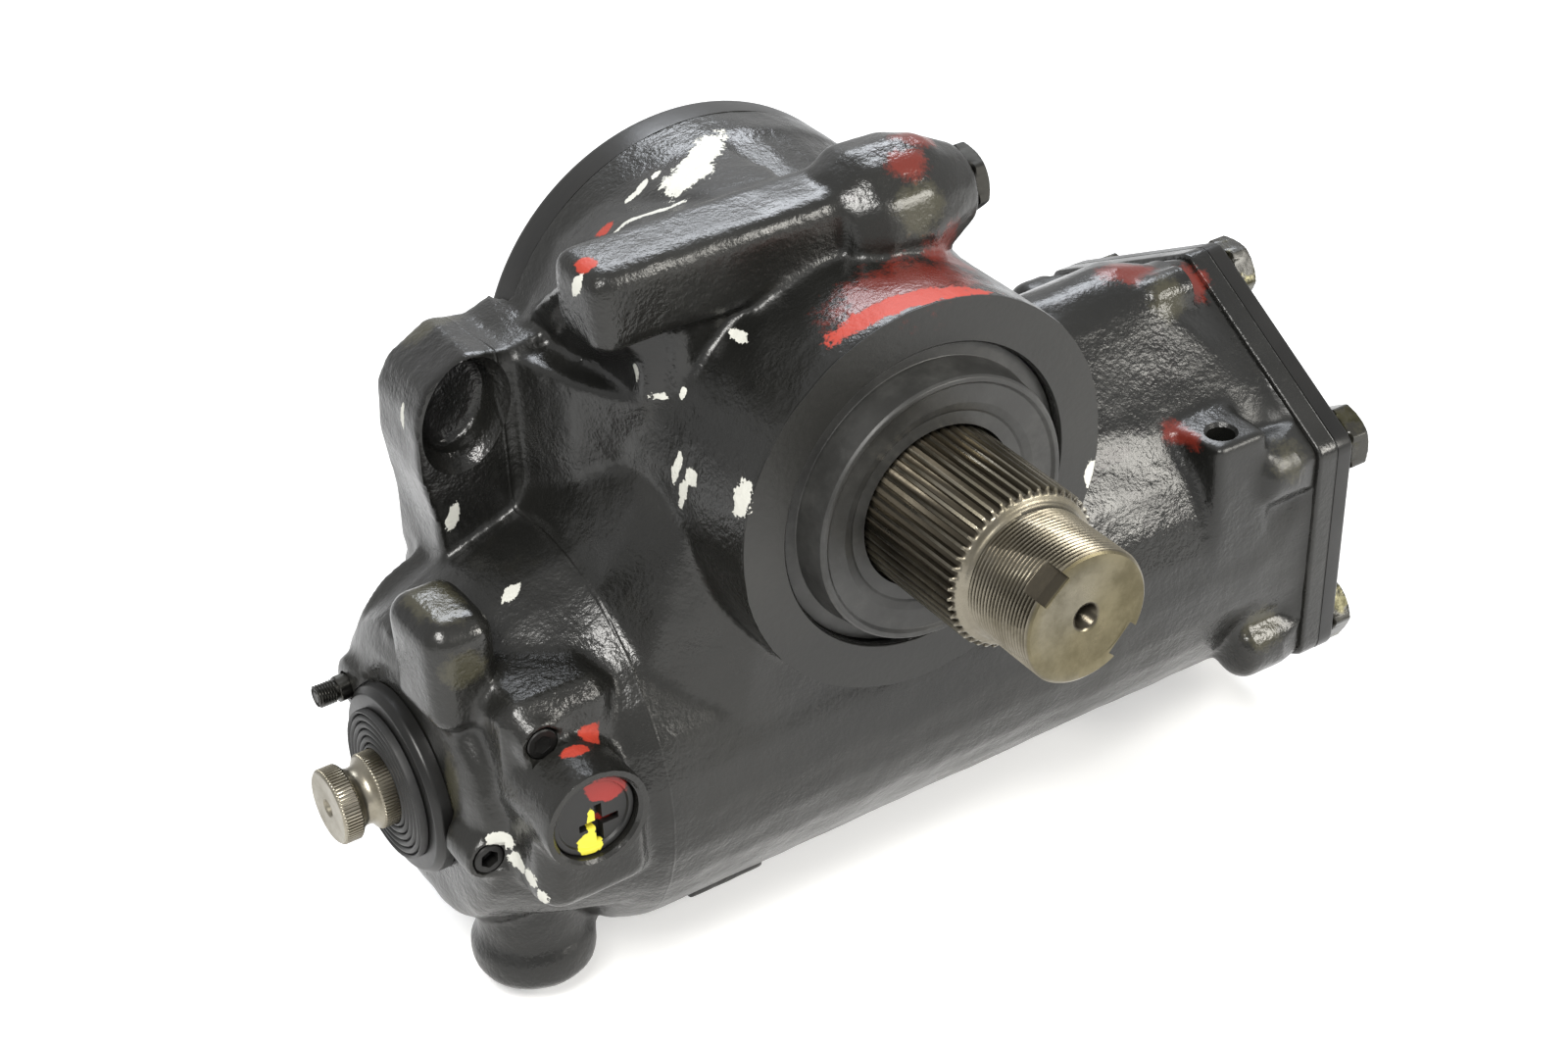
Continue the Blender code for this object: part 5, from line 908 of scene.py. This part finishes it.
def make_end_cover():
    edge_x, rounding = 190.4, 1.4
    stations = [(181.3, 0), (181.3, 59.7), (184.8, 59.7), (184.8, FLANGE_OUTLINE), (edge_x, FLANGE_OUTLINE)]
    for i in range(1, 6):
        turn = math.radians(18 * i)
        out = rounding * (1 - math.cos(turn))
        stations.append((edge_x + rounding * math.sin(turn), inset(FLANGE_OUTLINE, out)))
    stations += [(191.8, 62.5), (191.5, 61.0), (191.0, 60.2), (191.0, 0)]
    cover = turned("end_cover_plate", stations, "X", (0, 0), 240)
    boolean(cover, [rod("X", 180, 194, CORNER_BOLT_HOLE_R, place, 32) for place in corner_places()])
    dress(cover, FACE_PAINT, "end_cover", angle=30)


def make_side_cover():
    corners = [(30, 57.0), (31, 57.7), (46.3, 57.7), (46.3, 78.05), (58.3, 78.05, 2.6), (58.3, 46.0, 3.0),
               (62.3, 42.0, 2.0), (74.0, 40.0, 5.0), (80.0, 30.0, 2.5), (80.0, 10.6), (79.7, 10.3), (65.5, 10.3),
               (65.5, 34.5), (30, 34.5)]
    cover = turned("side_cover_cast", rounded(corners), "Y", SECTOR, 160)
    boolean(cover, [block((-90, 29, -10), (90, 46.3, CHAMBER_FLAT_Z + 0.3)),
                    block((-90, 45, -10), (90, 82, COVER_FLAT_Z + 0.3))]
            + [rod("Y", 45, 60, SIDE_BOLT_HOLE_R, place, 32) for place in side_bolt_places()])
    dress(cover, FACE_PAINT, "side_cover", angle=30)


def make_adjuster():
    """Adjusting screw with its key socket, and the locknut round it."""
    key = hexagon(4.5, 5.2, 0)
    stations = [(55.4, 0), (55.4, 15), (60.4, 15), (60.4, 10), (88.8, 9.95)]
    stations += thread(89.2, 100.0, 10.0, 0.75, 1.5)
    stations += [(101.0, 9.0), (101.0, inset(key, -0.5)), (100.5, key), (93.5, key), (92.5, 0)]
    dress(turned("adjuster", stations, "Y", SECTOR, 96), BOLT, "adjusting_screw", angle=30)
    nut = hexagon(15.0, 17.0, 0.2)
    stations = [(80.3, 10.3), (80.3, 14.6), (80.7, less(nut, 15.4)), (81.2, nut)]
    stations += [(88.2 + 0.3 * i, less(nut, 17.3 - 0.45 * i)) for i in range(7)]
    stations += [(90.3, 14.0), (90.3, 10.9), (89.7, 10.3)]
    dress(turned("locknut", stations, "Y", SECTOR, 96), BOLT, "adjuster_locknut", angle=30)


def make_plugs():
    """Transit plugs of the two ports, the first with a cross-shaped grip, and the two key-socket plugs."""
    corners = [(-67.3, 0), (-67.3, 14.7), (-79.6, 14.7, 0.4), (-80.0, 14.2, 0.3), (-80.0, 12.6, 0.3),
               (-79.0, 12.2, 0.3), (-79.0, 0)]
    plug = turned("pressure_plug", rounded(corners), "Y", PORT, 96)
    x, z = PORT[0] + 2.0, PORT[1] - 4.0
    arms = [block((x - a, -82, z - b), (x + a, -75.5, z + b)) for a, b in ((7.0, 1.3), (1.3, 7.0))]
    boolean(plug, arms)
    dress(plug, MARKED_PLUG, "pressure_port_plug", angle=30)
    corners = [(-63.3, 0), (-63.3, 12.7), (-77.3, 12.7), (-77.3, 14.5, 0.3), (-80.0, 14.5, 0.8), (-80.0, 9.0, 0.4),
               (-78.6, 8.4, 0.4), (-78.6, 0)]
    dress(turned("return_plug", rounded(corners), "Z", RETURN, 96), PLUG, "return_port_plug", angle=30)
    for node, place, face, deep in (("upper_socket_plug", UPPER_SOCKET, UPPER_SOCKET_FACE_Y, 0.7),
                                    ("lower_socket_plug", LOWER_SOCKET, LOWER_SOCKET_FACE_Y, 4.8)):
        key = hexagon(2.9, 3.3, 0.4)
        stations = [(face + 8.7, 0), (face + 8.7, 5.2), (face + 0.8, 5.2), (face + 0.4, 4.8), (face + 0.4, key),
                    (face + deep, key), (face + deep + 0.8, 0)]
        dress(turned(f"{node}_steel", stations, "Y", place, 48), FACE_PAINT, node, angle=30)


make_housing()
make_sector_shaft()
make_input_shaft()
make_dust_ring()
make_boot()
make_bearing_cap()
make_bleed_fitting()
make_bolts()
make_end_cover()
make_side_cover()
make_adjuster()
make_plugs()

# The pieces that keep their CAD shape take a plain material by their slot
SLOT_MATERIAL = {"black_paint": FACE_PAINT, "bare_steel": BARE, "dark_steel": BOLT, "rubber": RUBBER,
                 "plug_plastic": PLUG, "ring_plastic": RING_PLASTIC}
for node, obj in frame["nodes"].items():
    obj.data.materials.clear()
    obj.data.materials.append(SLOT_MATERIAL[SLOT[node]])


# Floor, light and camera

def background_strength(tree, lighting, seen_at):
    """Strength of a glow: one for the light that it gives, another where it is seen or mirrored."""
    rays = tree.nodes.new("ShaderNodeLightPath")
    seen = rays.outputs["Is Camera Ray"]
    for other in ("Is Glossy Ray", "Is Transmission Ray"):
        both = tree.nodes.new("ShaderNodeMath")
        both.operation = "MAXIMUM"
        tree.links.new(seen, both.inputs[0])
        tree.links.new(rays.outputs[other], both.inputs[1])
        seen = both.outputs[0]
    strength = tree.nodes.new("ShaderNodeMapRange")
    strength.inputs["To Min"].default_value = lighting
    strength.inputs["To Max"].default_value = seen_at
    tree.links.new(seen, strength.inputs["Value"])
    return strength.outputs["Result"]


def make_stage():
    corners = [(FLOOR_HALF * x, FLOOR_HALF * y, 0) for x, y in ((-1, -1), (1, -1), (1, 1), (-1, 1))]
    floor = new_object("floor", corners, [(0, 1, 2, 3)])
    material = bpy.data.materials.new("floor_white")
    material.use_nodes = True
    tree = material.node_tree
    tree.nodes.clear()
    out = tree.nodes.new("ShaderNodeOutputMaterial")
    diffuse = tree.nodes.new("ShaderNodeBsdfDiffuse")
    diffuse.inputs["Color"].default_value = (0.80, 0.80, 0.80, 1)
    glow = tree.nodes.new("ShaderNodeEmission")
    tree.links.new(background_strength(tree, 0.0, 0.42), glow.inputs["Strength"])
    both = tree.nodes.new("ShaderNodeAddShader")
    tree.links.new(diffuse.outputs[0], both.inputs[0])
    tree.links.new(glow.outputs[0], both.inputs[1])
    tree.links.new(both.outputs[0], out.inputs["Surface"])
    floor.data.materials.append(material)

    world = bpy.data.worlds.new("studio")
    bpy.context.scene.world = world
    world.use_nodes = True
    tree = world.node_tree
    tree.nodes.clear()
    out = tree.nodes.new("ShaderNodeOutputWorld")
    background = tree.nodes.new("ShaderNodeBackground")
    tree.links.new(background_strength(tree, 0.30, 1.0), background.inputs["Strength"])
    tree.links.new(background.outputs[0], out.inputs["Surface"])


def lamp(name, place, size, power, colour):
    data = bpy.data.lights.new(name, "AREA")
    data.shape = "RECTANGLE"
    data.size, data.size_y = size
    data.energy = power
    data.color = colour
    obj = bpy.data.objects.new(name, data)
    bpy.context.scene.collection.objects.link(obj)
    obj.location = place
    obj.rotation_euler = (LAMP_AIM - Vector(place)).to_track_quat("-Z", "Y").to_euler()


def make_camera():
    data = bpy.data.cameras.new("photo_camera")
    data.lens = CAMERA_LENS
    data.sensor_width = CAMERA_SENSOR
    camera = bpy.data.objects.new("photo_camera", data)
    matrix = Matrix((CAMERA_RIGHT, -CAMERA_DOWN, -CAMERA_FORWARD)).transposed().to_4x4()
    matrix.translation = CAMERA_PLACE * MM + ORIGIN
    camera.matrix_world = matrix
    bpy.context.scene.collection.objects.link(camera)
    bpy.context.scene.camera = camera


make_stage()
lamp("key", (-0.75, -0.65, 1.35), (0.6, 0.5), 30, (1.0, 0.985, 0.95))
lamp("side", (0.75, -1.05, 0.75), (0.4, 0.6), 16, (1.0, 0.97, 0.90))
lamp("back", (0.55, 0.9, 1.2), (0.8, 0.5), 15, (0.90, 0.94, 1.0))
make_camera()
bpy.context.scene.view_settings.view_transform = "Standard"
